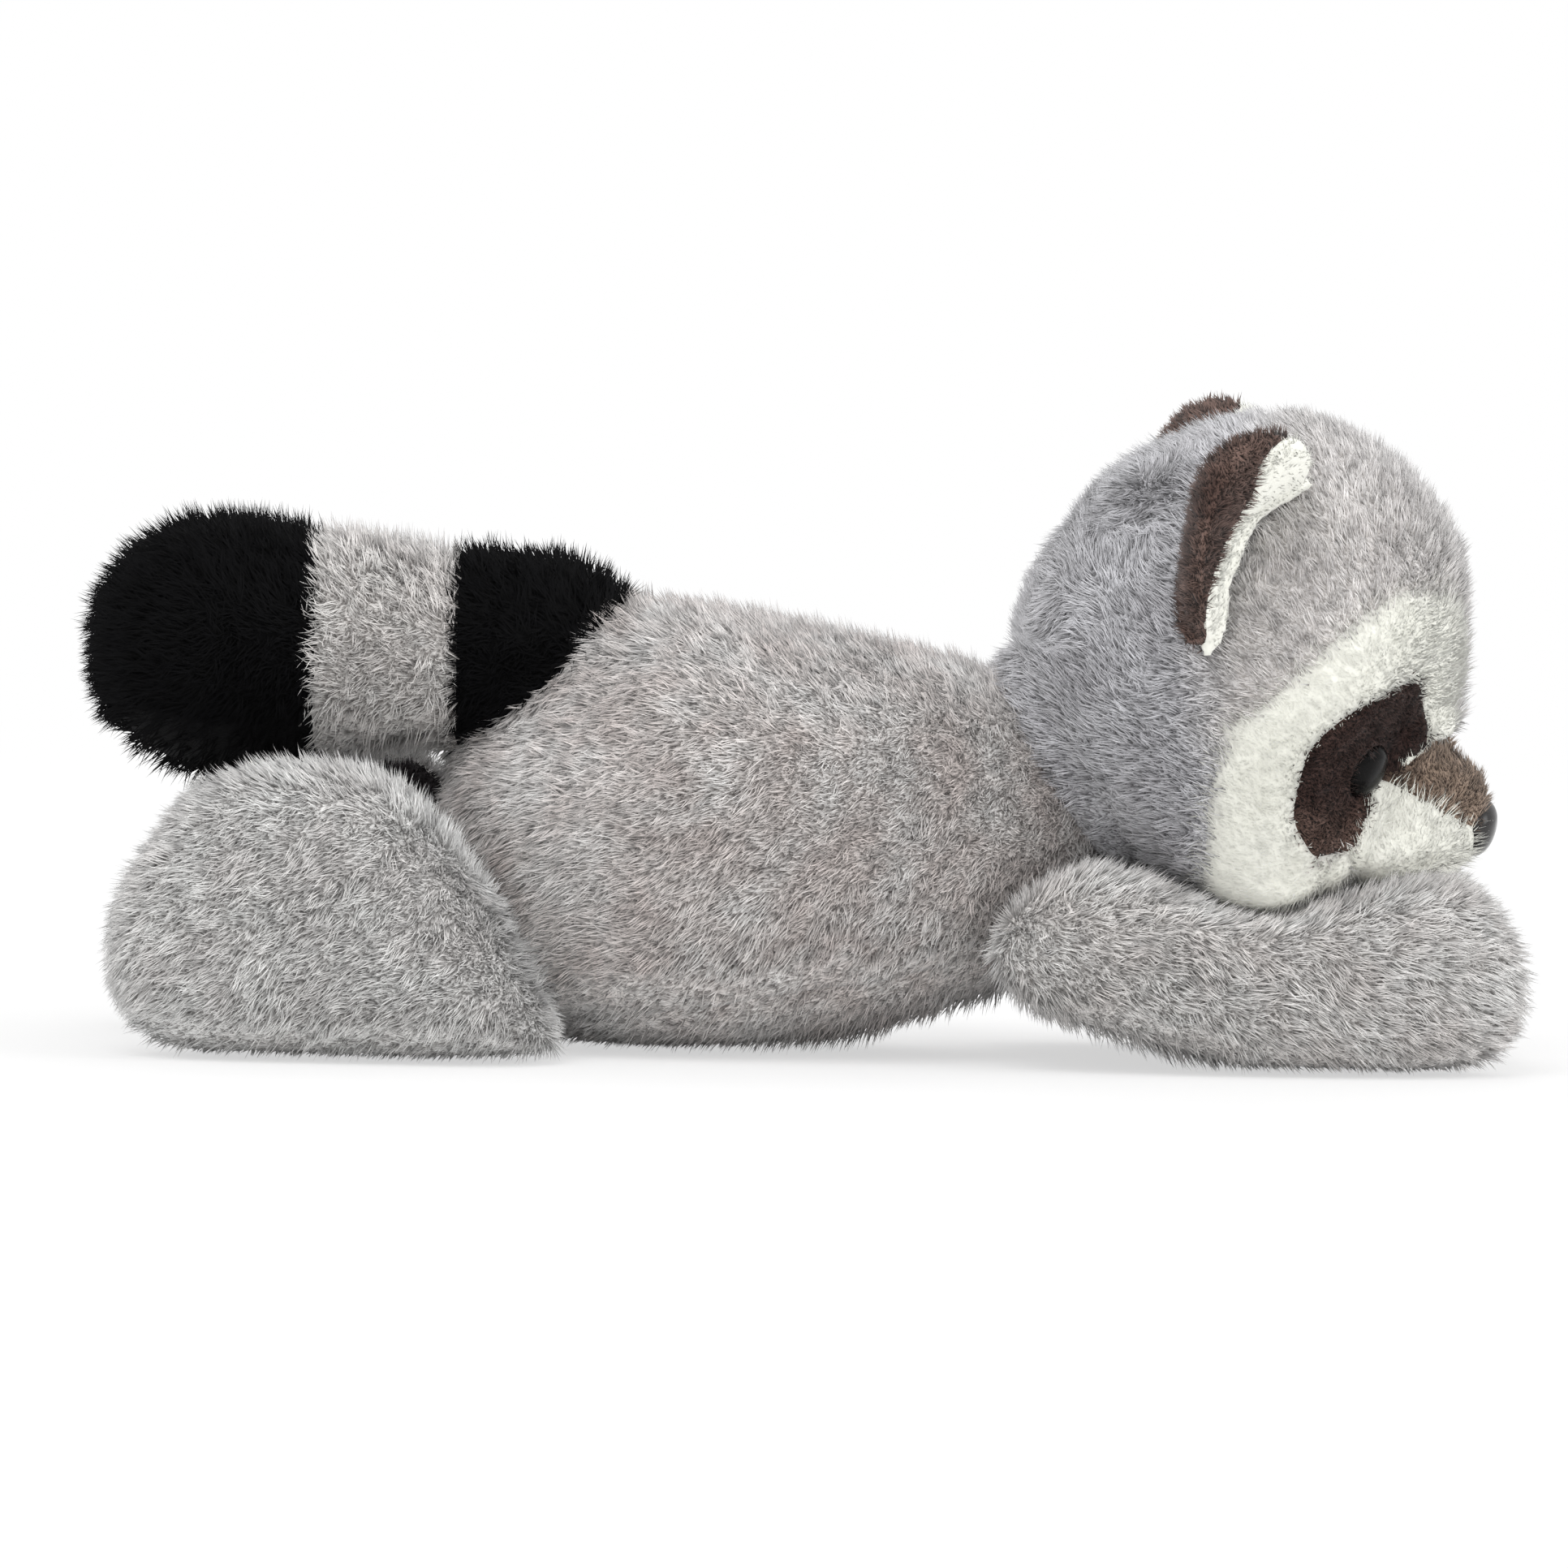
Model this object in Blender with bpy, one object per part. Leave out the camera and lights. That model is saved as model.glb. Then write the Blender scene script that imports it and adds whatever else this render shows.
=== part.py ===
"""A plush raccoon that lies on its belly with its chin on its front paws.

Metres, +Z up. The raccoon faces +X and is the same on both sides of the XZ plane. The floor is z = 0.
Every stuffed part is one closed solid of skin and filling. Panels of another colour are sewn in as
shells that the part's own form is cut back for. Pieces that touch keep the gap CLEAR.
"""

import math

import bmesh
import bpy
from mathutils import Matrix, Vector
from mathutils.bvhtree import BVHTree

CLEAR = 0.0003
PANEL = 0.0042  # how deep a sewn-in panel goes, pile and backing
BEHIND = CLEAR  # the gap behind a sewn-in panel
PRESS = 0.0020  # how far the filling is pressed flat where a part rests on the floor

# Torso
RUMP_X = -0.0775
BODY_LENGTH = 0.1480
BODY_HEIGHT = 0.0935
BODY_WIDTH = 0.1000
BODY_FULLNESS = 0.75
NECK_WIDTH = 0.0620  # across the torso's front end, where the hips are BODY_WIDTH
BODY_OUTLINE = (
    (0.00, 0.50), (0.045, 0.66), (0.17, 0.86), (0.28, 1.00), (0.48, 0.965), (0.70, 0.895), (0.90, 0.79),
    (1.00, 0.55), (0.93, 0.28), (0.82, 0.155), (0.70, 0.09), (0.54, 0.03), (0.32, 0.00), (0.08, 0.09),
)
BELLY_SEAM = ((-0.10, 0.07), (0.20, 0.075), (0.39, 0.125), (0.57, 0.16), (0.80, 0.24), (1.10, 0.34))

# Head
HEAD_LENGTH = 0.0960
HEAD_HEIGHT = 0.1003
HEAD_WIDTH = 0.1040
HEAD_FULLNESS = 0.85
NECK_OVERLAP = 0.0305  # how far the torso's form runs into the head's
CHIN_SINK = 0.0070  # how far the head's form comes down between the arms
HEAD_OUTLINE = (
    (0.630, 1.000), (0.835, 0.922), (0.975, 0.755), (1.000, 0.570), (0.995, 0.410), (0.925, 0.240),
    (0.755, 0.078), (0.547, 0.000), (0.300, 0.059), (0.118, 0.200), (0.018, 0.412), (0.040, 0.627),
    (0.190, 0.845), (0.395, 0.968),
)
FACE_SEAM = (
    (0.60, 1.08), (0.557, 0.892), (0.484, 0.696), (0.443, 0.549), (0.458, 0.356), (0.422, 0.118),
    (0.453, -0.10),
)
BROW_LINE = (
    (0.36, 0.270), (0.458, 0.356), (0.5625, 0.431), (0.702, 0.555), (0.807, 0.631), (0.877, 0.652),
    (0.955, 0.642), (1.20, 0.600),
)
PATCH_OUTLINE = (
    (0.885, 0.462), (0.905, 0.400), (0.895, 0.290), (0.830, 0.225), (0.778, 0.160), (0.722, 0.136),
    (0.650, 0.126), (0.628, 0.180), (0.628, 0.275), (0.665, 0.345), (0.740, 0.400), (0.824, 0.440),
)
STRIPE_WIDTH = 0.0100  # the grey stripe that runs down the forehead to the muzzle
STRIPE_FLARE = ((1.0, 0.30), (1.0, 0.53), (2.2, 0.60), (5.4, 0.67), (5.4, 1.20))  # half widths, heights
PATCH_INSET = 0.0110  # how near the middle plane an eye patch comes
SOCKET_DEPTH = 0.0095  # how far the face is pressed in round an eye
SOCKET_RADIUS = 0.0160

# Muzzle
MUZZLE_LENGTH = 0.0410
MUZZLE_HEIGHT = 0.0375
MUZZLE_WIDTH = 0.0520
MUZZLE_TIP_WIDTH = 0.0280
MUZZLE_FULLNESS = 0.70
MUZZLE_REACH = 0.0050  # how far it stands out past the forehead
MUZZLE_LEVEL = 0.0025  # its lowest point above the head's
MUZZLE_OUTLINE = (
    (0.50, 0.99), (0.74, 0.95), (0.91, 0.83), (1.00, 0.66), (0.975, 0.42), (0.93, 0.16), (0.78, 0.03),
    (0.50, 0.00), (0.20, 0.05), (0.00, 0.40), (0.15, 0.80),
)
BRIDGE_LINE = (
    (-0.20, 0.72), (0.20, 0.69), (0.45, 0.65), (0.57, 0.605), (0.73, 0.52), (0.89, 0.41), (1.20, 0.22),
)

# Ears
EAR_CHORD = 0.0445
EAR_RISE = 0.0290
EAR_BACK_DEPTH = 0.0155
EAR_LINING_DEPTH = 0.0038
EAR_LEAN = 0.0095
EAR_CUP = 0.0055
EAR_SET = (0.465, 0.755)  # the middle of an ear's root on the head's outline, seen from the side
EAR_ROOT_TILT = math.radians(61)
EAR_SPREAD = math.radians(33)

# Arms
ARM_LENGTH = 0.1080
ARM_HEIGHT = 0.0430
ARM_WIDTH = 0.0400
ARM_FULLNESS = 0.60
ARM_LEAD = 0.0300  # how far a shoulder sits behind the torso's front
ARM_OUTLINE = (
    (0.000, 0.58), (0.045, 0.86), (0.170, 1.05), (0.330, 0.93), (0.480, 0.83), (0.640, 0.91), (0.800, 1.00),
    (0.910, 0.94), (0.980, 0.70), (1.000, 0.42), (0.960, 0.13), (0.850, 0.01), (0.550, 0.00), (0.270, 0.14),
    (0.070, 0.32),
)
SHOULDER_Y = 0.0370
PAW_Y = 0.0225

# Legs
LEG_LENGTH = 0.0960
LEG_HEIGHT = 0.0605
LEG_WIDTH = 0.0470
LEG_FULLNESS = 0.50
LEG_LEAD = 0.0325  # how far a leg runs forward of the rump
LEG_OUTLINE = (
    (0.00, 0.38), (0.07, 0.68), (0.21, 0.92), (0.40, 1.00), (0.57, 0.97), (0.70, 0.84), (0.86, 0.48),
    (0.985, 0.07), (0.86, 0.00), (0.50, 0.00), (0.18, 0.02), (0.05, 0.14),
)
HIP_Y = 0.0420
FOOT_Y = 0.0445
SOLE_MARGIN = 0.0042
SOLE_LEVEL = 0.0060  # how far the sole's edge lies inside the leg's innermost point

# Tail
TAIL_LENGTH = 0.1168
TAIL_ROOT_LEAD = 0.0450  # how far the tail's root lies forward of the rump
TAIL_DROP = 0.0125  # its middle line below the top of the back
TAIL_RADIUS = 0.0285
TAIL_PROFILE = (
    (0.00, 0.00), (0.012, 0.37), (0.075, 0.74), (0.15, 0.92), (0.24, 1.00), (0.42, 0.93), (0.65, 0.81),
    (0.82, 0.765), (0.91, 0.68), (0.97, 0.44), (1.00, 0.00),
)
TAIL_TIP_BAND = 0.0485
TAIL_GREY_BAND = 0.0290

# Eyes and nose: moulded buttons on a stem, each held inside by a washer
EYE_RADIUS = 0.0062
EYE_DOME = 0.0042
EYE_AIM = (0.772, -0.421, -0.477)
EYE_SET = (0.770, 0.290, 0.270)  # along the head's length, its height and its width from the middle
NOSE_WIDTH = 0.0165
NOSE_HEIGHT = 0.0128
NOSE_DOME = 0.0056
DOME_ROUNDNESS = 0.8  # 1 makes a button's dome a half circle, and less makes its edge fuller
DOME_FLAT = 0.12  # how far the dome's small flat top reaches, as a share of the button's radius
NOSE_PITCH = math.radians(-15)
NOSE_LEVEL = 0.50  # where the nose's axis crosses the muzzle's middle, as a share of its height
STEM_RADIUS = 0.0017
STEM_LENGTH = 0.0110
STEM_FOOT = 0.0011
WASHER_RADIUS = 0.0055
WASHER_THICK = 0.0014
BUTTON_SINK = 0.0013  # how deep a button's back lies in the pile

# Mesh fineness
HEAD_FINENESS = (34, 20)
LIMB_FINENESS = (28, 12)
TAIL_SIDES = 20
TAIL_RINGS = 18
EAR_SIDES = 18
EAR_RINGS = 4
ROUND_SIDES = 14
DOME_STEPS = 5
CURVE_STEPS = 8
BELLY_SEAM_POINTS = 18
FACE_SEAM_POINTS = 20
PATCH_POINTS = 30
BRIDGE_POINTS = 14

GREY = (0.36, 0.35, 0.345)
WHITE = (0.80, 0.81, 0.73)
BROWN = (0.055, 0.036, 0.031)
MUZZLE_BROWN = (0.15, 0.11, 0.085)
BLACK = (0.004, 0.004, 0.006)
CHARCOAL = (0.024, 0.019, 0.022)
MOULDED = (0.012, 0.012, 0.012)
WASHER_WHITE = (0.75, 0.75, 0.72)


def clear_scene():
    for obj in list(bpy.data.objects):
        bpy.data.objects.remove(obj)


def material(name, colour, roughness):
    made = bpy.data.materials.get(name)
    if made is None:
        made = bpy.data.materials.new(name)
        made.use_nodes = True
        shader = made.node_tree.nodes["Principled BSDF"]
        shader.inputs["Base Color"].default_value = (*colour, 1)
        shader.inputs["Roughness"].default_value = roughness
        shader.inputs["Metallic"].default_value = 0
    return made


def plush(name, colour):
    return material(name, colour, 0.95)


def new_object(name, mesh, finish=None, helper=False):
    obj = bpy.data.objects.new(name, mesh)
    bpy.context.scene.collection.objects.link(obj)
    if finish:
        mesh.materials.append(finish)
    if helper:
        obj.hide_render = True
        obj.display_type = "WIRE"
    return obj


def mesh_from(points, faces):
    """A closed mesh with its faces pointing out, in triangles, so that its copies nest in each other."""
    mesh = bpy.data.meshes.new("form")
    mesh.from_pydata([tuple(p) for p in points], [], faces)
    work = bmesh.new()
    work.from_mesh(mesh)
    bmesh.ops.recalc_face_normals(work, faces=work.faces)
    bmesh.ops.triangulate(work, faces=[f for f in work.faces if len(f.verts) == 4])
    work.to_mesh(mesh)
    work.free()
    mesh.shade_smooth()
    return mesh


def inner_copy(obj, name, depth):
    """A hidden copy of a form, scaled about its middle so that each of its sides comes in by depth."""
    mesh = obj.data.copy()
    for axis in range(3):
        low = min(v.co[axis] for v in mesh.vertices)
        high = max(v.co[axis] for v in mesh.vertices)
        middle, scale = (low + high) / 2, 1 - 2 * depth / (high - low)
        for vertex in mesh.vertices:
            vertex.co[axis] = middle + (vertex.co[axis] - middle) * scale
    return new_object(name, mesh, helper=True)


def grown_copy(obj, name, grow):
    """A hidden copy of a form, with every point moved out along its normal by grow."""
    mesh = obj.data.copy()
    normals = [v.normal.copy() for v in mesh.vertices]
    for vertex, normal in zip(mesh.vertices, normals):
        vertex.co += normal * grow
    return new_object(name, mesh, helper=True)


def node(name, form, finish):
    """A visible node that starts as a copy of a hidden form."""
    mesh = form.data.copy()
    mesh.materials.clear()
    return new_object(name, mesh, finish)


def combine(obj, other, operation):
    modifier = obj.modifiers.new(operation.lower(), "BOOLEAN")
    modifier.operation = operation
    modifier.object = other


def cut(obj, *cutters):
    for cutter in cutters:
        combine(obj, cutter, "DIFFERENCE")


def keep(obj, *volumes):
    for volume in volumes:
        combine(obj, volume, "INTERSECT")


def curve_point(a, b, c, d, t):
    """Catmull-Rom between b and c."""
    return tuple(
        0.5 * (2 * q + (r - p) * t + (2 * p - 5 * q + 4 * r - s) * t**2 + (3 * q - p - 3 * r + s) * t**3)
        for p, q, r, s in zip(a, b, c, d)
    )


def evenly(points, count, closed):
    """count points at equal steps along a polyline."""
    path = [Vector(p) for p in points]
    if closed:
        path.append(path[0])
    lengths = [0.0]
    for a, b in zip(path, path[1:]):
        lengths.append(lengths[-1] + (b - a).length)
    steps = count if closed else count - 1
    found = []
    for i in range(count):
        wanted = lengths[-1] * i / steps
        k = max(j for j in range(len(path) - 1) if lengths[j] <= wanted + 1e-12)
        share = (wanted - lengths[k]) / max(lengths[k + 1] - lengths[k], 1e-12)
        found.append(tuple(path[k].lerp(path[k + 1], min(share, 1.0))))
    return found


def smooth_loop(points, count):
    n = len(points)
    fine = [
        curve_point(points[i - 1], points[i], points[(i + 1) % n], points[(i + 2) % n], t / CURVE_STEPS)
        for i in range(n)
        for t in range(CURVE_STEPS)
    ]
    return evenly(fine, count, closed=True)


def smooth_line(points, count):
    ends = [points[0], *points, points[-1]]
    fine = [
        curve_point(*ends[i : i + 4], t / CURVE_STEPS)
        for i in range(len(points) - 1)
        for t in range(CURVE_STEPS)
    ]
    return evenly([*fine, points[-1]], count, closed=False)


def placed(pattern, corner, length, height):
    """A unit pattern at its real size: (x, z) from the lower rear corner."""
    return [(corner[0] + u * length, corner[1] + v * height) for u, v in pattern]


def stuffed(name, outline, half_width, fullness, fineness, middle_y=lambda x: 0.0, width_at=lambda x: 1.0):
    """A filled form whose side view is the outline: copies of it shrink about its middle towards each side.

    The smaller the fullness, the longer the copies stay large. What would lie below the floor is pressed
    flat on it. The fineness is how many points a copy has, and how many copies there are.
    """
    loop_points, rows = fineness
    loop = smooth_loop(outline, loop_points)
    low = Vector((min(p[0] for p in loop), min(p[1] for p in loop)))
    high = Vector((max(p[0] for p in loop), max(p[1] for p in loop)))
    centre = (low + high) / 2
    points, faces = [], []
    for row in range(1, rows):
        angle = math.pi * (row / rows - 0.5)
        shrink = math.cos(angle) ** fullness
        for x, z in loop:
            px = centre.x + (x - centre.x) * shrink
            pz = centre.y + (z - centre.y) * shrink
            points.append((px, middle_y(px) + half_width * width_at(px) * math.sin(angle), max(pz, 0.0)))
    n = len(loop)
    for row in range(rows - 2):
        for i in range(n):
            a, b = row * n + i, row * n + (i + 1) % n
            faces.append((a, b, b + n, a + n))
    for side, first in ((-1, 0), (1, (rows - 2) * n)):
        pole = len(points)
        points.append((centre.x, middle_y(centre.x) + side * half_width * width_at(centre.x), centre.y))
        faces += [(first + i, first + (i + 1) % n, pole) for i in range(n)]
    return new_object(name, mesh_from(points, faces), helper=True)


def prism(name, outline, near, far, grow=0.0, from_front=False):
    """A hidden cutter: the outline from one y to the other, all faces moved out by grow.

    The outline is (x, z), as in the side view, or (y, z) from_front, and then near and far are x.
    """
    n = len(outline)
    turn = sum(a[0] * b[1] - b[0] * a[1] for a, b in zip(outline, [*outline[1:], outline[0]]))
    grown = []
    for i, (x, z) in enumerate(outline):
        before, after = Vector(outline[i - 1]), Vector(outline[(i + 1) % n])
        along = (after - before).normalized()
        out = Vector((along.y, -along.x)) * (1 if turn > 0 else -1)
        grown.append((x + out.x * grow, z + out.y * grow))
    low, high = min(near, far) - grow, max(near, far) + grow
    if from_front:
        points = [(depth, across, z) for depth in (low, high) for across, z in grown]
    else:
        points = [(across, depth, z) for depth in (low, high) for across, z in grown]
    faces = [tuple(range(n)), tuple(range(n, 2 * n))]
    faces += [(i, (i + 1) % n, (i + 1) % n + n, i + n) for i in range(n)]
    return new_object(name, mesh_from(points, faces), helper=True)


def spun(name, profile, axis, base, finish=None, ring=False):
    """A round piece from (radius, distance) points along its axis, a hidden cutter where it has no finish.

    A ring's profile closes on itself, and any other piece is capped at both ends.
    """
    points, faces = [], []
    for radius, distance in profile:
        for i in range(ROUND_SIDES):
            angle = 2 * math.pi * i / ROUND_SIDES
            points.append(Vector((radius * math.cos(angle), radius * math.sin(angle), distance)))
    rows = len(profile)
    for row in range(rows if ring else rows - 1):
        here, after = row * ROUND_SIDES, (row + 1) % rows * ROUND_SIDES
        for i in range(ROUND_SIDES):
            j = (i + 1) % ROUND_SIDES
            faces.append((here + i, here + j, after + j, after + i))
    if not ring:
        faces.append(tuple(range(ROUND_SIDES)))
        faces.append(tuple((rows - 1) * ROUND_SIDES + i for i in range(ROUND_SIDES)))
    aim = Vector(axis).normalized()
    side = Vector((0, 0, 1)).cross(aim).normalized()
    turn = Matrix((side, aim.cross(side), aim)).transposed()
    mesh = mesh_from([turn @ p + Vector(base) for p in points], faces)
    return new_object(name, mesh, finish, helper=finish is None)


def mirrored(vector):
    return (vector[0], -vector[1], vector[2])


def torso_corner():
    return RUMP_X, -PRESS


def torso_front():
    return RUMP_X + BODY_LENGTH


def head_corner():
    return torso_front() - NECK_OVERLAP, ARM_HEIGHT - PRESS - CHIN_SINK


def on_head(pattern):
    return placed(pattern, head_corner(), HEAD_LENGTH, HEAD_HEIGHT)


def build_torso(parts):
    form = stuffed(
        "torso_form",
        placed(BODY_OUTLINE, torso_corner(), BODY_LENGTH, BODY_HEIGHT + PRESS),
        BODY_WIDTH / 2,
        BODY_FULLNESS,
        LIMB_FINENESS,
        width_at=lambda x: between(1, NECK_WIDTH / BODY_WIDTH, 2 * (x - RUMP_X) / BODY_LENGTH - 1),
    )
    parts["torso"] = form
    line = placed(BELLY_SEAM, torso_corner(), BODY_LENGTH, BODY_HEIGHT + PRESS)
    seam = smooth_line(line, BELLY_SEAM_POINTS)
    below = [*seam, (seam[-1][0], -BODY_HEIGHT), (seam[0][0], -BODY_HEIGHT)]
    belly_space = prism("belly_space", below, -BODY_WIDTH, BODY_WIDTH)
    belly_pocket = prism("belly_pocket", below, -BODY_WIDTH, BODY_WIDTH, CLEAR)
    cut(belly_pocket, inner_copy(form, "torso_core_cut", PANEL + BEHIND))
    body = node("body", form, plush("grey_plush", GREY))
    cut(body, belly_pocket)
    belly = node("belly_panel", form, plush("grey_plush", GREY))
    keep(belly, belly_space)
    cut(belly, inner_copy(form, "torso_core", PANEL))
    return body, belly


def press_sockets(form):
    """Presses the face in round the eyes, as the pull of the stems does."""
    spot = eye_spot()
    front = outer_point(form, spot, (1, 0, 0))
    for vertex in form.data.vertices:
        depth = 0.0
        for side in (1, -1):
            offset = vertex.co - Vector((front.x, side * front.y, front.z))
            offset.x /= 2
            depth += SOCKET_DEPTH * math.exp(-((offset.length / SOCKET_RADIUS) ** 2))
        vertex.co.x -= depth


def eye_spot():
    corner = head_corner()
    return Vector(
        (corner[0] + EYE_SET[0] * HEAD_LENGTH, -EYE_SET[2] * HEAD_WIDTH, corner[1] + EYE_SET[1] * HEAD_HEIGHT)
    )


def outer_point(form, inside, aim):
    """Where a line from a point inside the form along aim leaves it."""
    tree = BVHTree.FromPolygons([v.co for v in form.data.vertices], [p.vertices for p in form.data.polygons])
    far = Vector(inside) + Vector(aim).normalized() * HEAD_LENGTH
    return tree.ray_cast(far, -Vector(aim).normalized())[0]


def button_profile(radius, dome):
    """(radius, distance) points of a button: its stem from the inner end, its flat back and its dome."""
    points = [(STEM_RADIUS, -STEM_LENGTH), (STEM_RADIUS, 0.0), (radius, 0.0)]
    for i in range(1, DOME_STEPS):
        angle = 0.5 * math.pi * i / DOME_STEPS
        points.append((radius * math.cos(angle) ** DOME_ROUNDNESS, dome * math.sin(angle)))
    points.append((radius * DOME_FLAT, dome))
    return points


def washer_ends():
    """Where a washer's two faces lie along the button's axis."""
    back = STEM_FOOT - STEM_LENGTH
    return back, back + WASHER_THICK


def room_profile(radius, dome):
    """The space that a button and its washer take in the filling and the pile, with their clearance."""
    back, front = washer_ends()
    stem, washer, button = STEM_RADIUS + CLEAR, WASHER_RADIUS + CLEAR, radius + CLEAR
    return [
        (stem, -STEM_LENGTH - CLEAR),
        (stem, back - CLEAR),
        (washer, back - CLEAR),
        (washer, front + CLEAR),
        (stem, front + CLEAR),
        (stem, -CLEAR),
        (button, -CLEAR),
        (button, 2 * dome),
    ]


def build_washer(name, aim, base):
    back, front = washer_ends()
    hole = STEM_RADIUS + CLEAR
    profile = [(hole, back), (WASHER_RADIUS, back), (WASHER_RADIUS, front), (hole, front)]
    spun(name, profile, aim, base, material("washer_plastic", WASHER_WHITE, 0.5), ring=True)


def build_buttons(parts):
    """Eyes and nose, and the cutters that make room for them."""
    finish = material("moulded_plastic", MOULDED, 0.12)
    rooms = []
    spot = outer_point(parts["cranium"], eye_spot(), EYE_AIM)
    for side in ("right", "left"):
        aim = Vector(EYE_AIM if side == "right" else mirrored(EYE_AIM)).normalized()
        surface = Vector(spot if side == "right" else mirrored(spot))
        base = surface - aim * BUTTON_SINK
        spun(f"eye_{side}", button_profile(EYE_RADIUS, EYE_DOME), aim, base, finish)
        build_washer(f"eye_washer_{side}", aim, base)
        rooms.append(spun(f"eye_room_{side}", room_profile(EYE_RADIUS, EYE_DOME), aim, base))
    aim = Vector((math.cos(NOSE_PITCH), 0, math.sin(NOSE_PITCH)))
    x, z = on_muzzle([(0.5, NOSE_LEVEL)])[0]
    tip = outer_point(parts["muzzle"], (x, 0, z), aim)
    base = tip - aim * BUTTON_SINK
    nose = spun("nose", button_profile(NOSE_WIDTH / 2, NOSE_DOME), aim, base, finish)
    flatten_button(nose, aim, base)
    build_washer("nose_washer", aim, base)
    room = spun("nose_room", room_profile(NOSE_WIDTH / 2, NOSE_DOME), aim, base)
    flatten_button(room, aim, base)
    return rooms, room


def flatten_button(obj, aim, base):
    """Makes the part of the nose that lies outside its seat an oval, lower than it is wide."""
    upright = aim.cross(Vector((0, 1, 0))).normalized()
    for vertex in obj.data.vertices:
        offset = vertex.co - base
        depth = offset.dot(aim)
        if depth > -2 * CLEAR and (offset - aim * depth).length > STEM_RADIUS + 2 * CLEAR:
            vertex.co -= upright * offset.dot(upright) * (1 - NOSE_HEIGHT / NOSE_WIDTH)


def on_muzzle(pattern):
    corner = head_corner()
    rear = corner[0] + HEAD_LENGTH + MUZZLE_REACH - MUZZLE_LENGTH
    return placed(pattern, (rear, corner[1] + MUZZLE_LEVEL), MUZZLE_LENGTH, MUZZLE_HEIGHT)


def build_head(parts):
    """The head, its face panels and its muzzle."""
    form = stuffed("cranium_form", on_head(HEAD_OUTLINE), HEAD_WIDTH / 2, HEAD_FULLNESS, HEAD_FINENESS)
    press_sockets(form)
    parts["cranium"] = form
    rear = on_muzzle([(0, 0)])[0][0]
    parts["muzzle"] = stuffed(
        "muzzle_form",
        on_muzzle(MUZZLE_OUTLINE),
        MUZZLE_WIDTH / 2,
        MUZZLE_FULLNESS,
        LIMB_FINENESS,
        width_at=lambda x: between(1, MUZZLE_TIP_WIDTH / MUZZLE_WIDTH, (x - rear) / MUZZLE_LENGTH),
    )
    eye_rooms, nose_room = build_buttons(parts)
    muzzle_room = grown_copy(parts["muzzle"], "muzzle_room", CLEAR)
    inner = inner_copy(form, "cranium_core", PANEL)
    inner_cut = inner_copy(form, "cranium_core_cut", PANEL + BEHIND)

    ahead = head_corner()[0] + 2 * HEAD_LENGTH
    floor, sky = head_corner()[1] - HEAD_HEIGHT, head_corner()[1] + 2 * HEAD_HEIGHT
    seam = smooth_line(on_head(FACE_SEAM), FACE_SEAM_POINTS)
    face = [(seam[0][0], sky), *seam, (seam[-1][0], floor), (ahead, floor), (ahead, sky)]
    brow = smooth_line(on_head(BROW_LINE), FACE_SEAM_POINTS)
    mask = [*brow, (ahead, floor), (brow[0][0], floor)]
    patch = smooth_loop(on_head(PATCH_OUTLINE), PATCH_POINTS)
    half = [(y * STRIPE_WIDTH / 2, head_corner()[1] + z * HEAD_HEIGHT) for y, z in STRIPE_FLARE]
    stripe = [*half, *[(-y, z) for y, z in reversed(half)]]

    def stripe_block(name, grow):
        return prism(name, stripe, head_corner()[0], ahead, grow, from_front=True)

    head = node("head", form, plush("grey_plush", GREY))
    pocket = prism("face_pocket", face, -HEAD_WIDTH, HEAD_WIDTH, CLEAR)
    cut(pocket, inner_cut)
    cut(head, pocket, muzzle_room, nose_room, *eye_rooms)

    forehead = node("forehead_panel", form, plush("grey_plush", GREY))
    keep(forehead, prism("face_space", face, -HEAD_WIDTH, HEAD_WIDTH))
    mask_room = prism("mask_room", mask, -HEAD_WIDTH, HEAD_WIDTH, CLEAR)
    cut(mask_room, stripe_block("stripe_space", 0.0))
    cut(forehead, mask_room, inner, muzzle_room)

    for side, sign, room in (("right", -1, eye_rooms[0]), ("left", 1, eye_rooms[1])):
        side_space = prism(f"mask_space_{side}", mask, sign * CLEAR / 2, sign * HEAD_WIDTH)
        panel = node(f"mask_panel_{side}", form, plush("white_plush", WHITE))
        keep(panel, side_space, prism(f"face_space_{side}", face, -HEAD_WIDTH, HEAD_WIDTH))
        patch_room = prism(f"patch_room_{side}", patch, sign * PATCH_INSET, sign * HEAD_WIDTH, CLEAR)
        cut(panel, room, patch_room, stripe_block(f"stripe_room_{side}", CLEAR), inner, muzzle_room)
        dark = node(f"eye_patch_{side}", form, plush("brown_plush", BROWN))
        keep(dark, prism(f"patch_space_{side}", patch, sign * PATCH_INSET, sign * HEAD_WIDTH))
        cut(dark, inner, muzzle_room, room)

    bridge = smooth_line(on_muzzle(BRIDGE_LINE), BRIDGE_POINTS)
    above = [*bridge, (ahead, sky), (bridge[0][0], sky)]
    below = [*bridge, (ahead, floor), (bridge[0][0], floor)]
    top = node("muzzle_top", parts["muzzle"], plush("muzzle_plush", MUZZLE_BROWN))
    keep(top, prism("muzzle_top_space", above, -MUZZLE_WIDTH, MUZZLE_WIDTH, -CLEAR / 2))
    cut(top, nose_room)
    under = node("muzzle_lower", parts["muzzle"], plush("white_plush", WHITE))
    keep(under, prism("muzzle_lower_space", below, -MUZZLE_WIDTH, MUZZLE_WIDTH, -CLEAR / 2))
    cut(under, nose_room)


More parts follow.
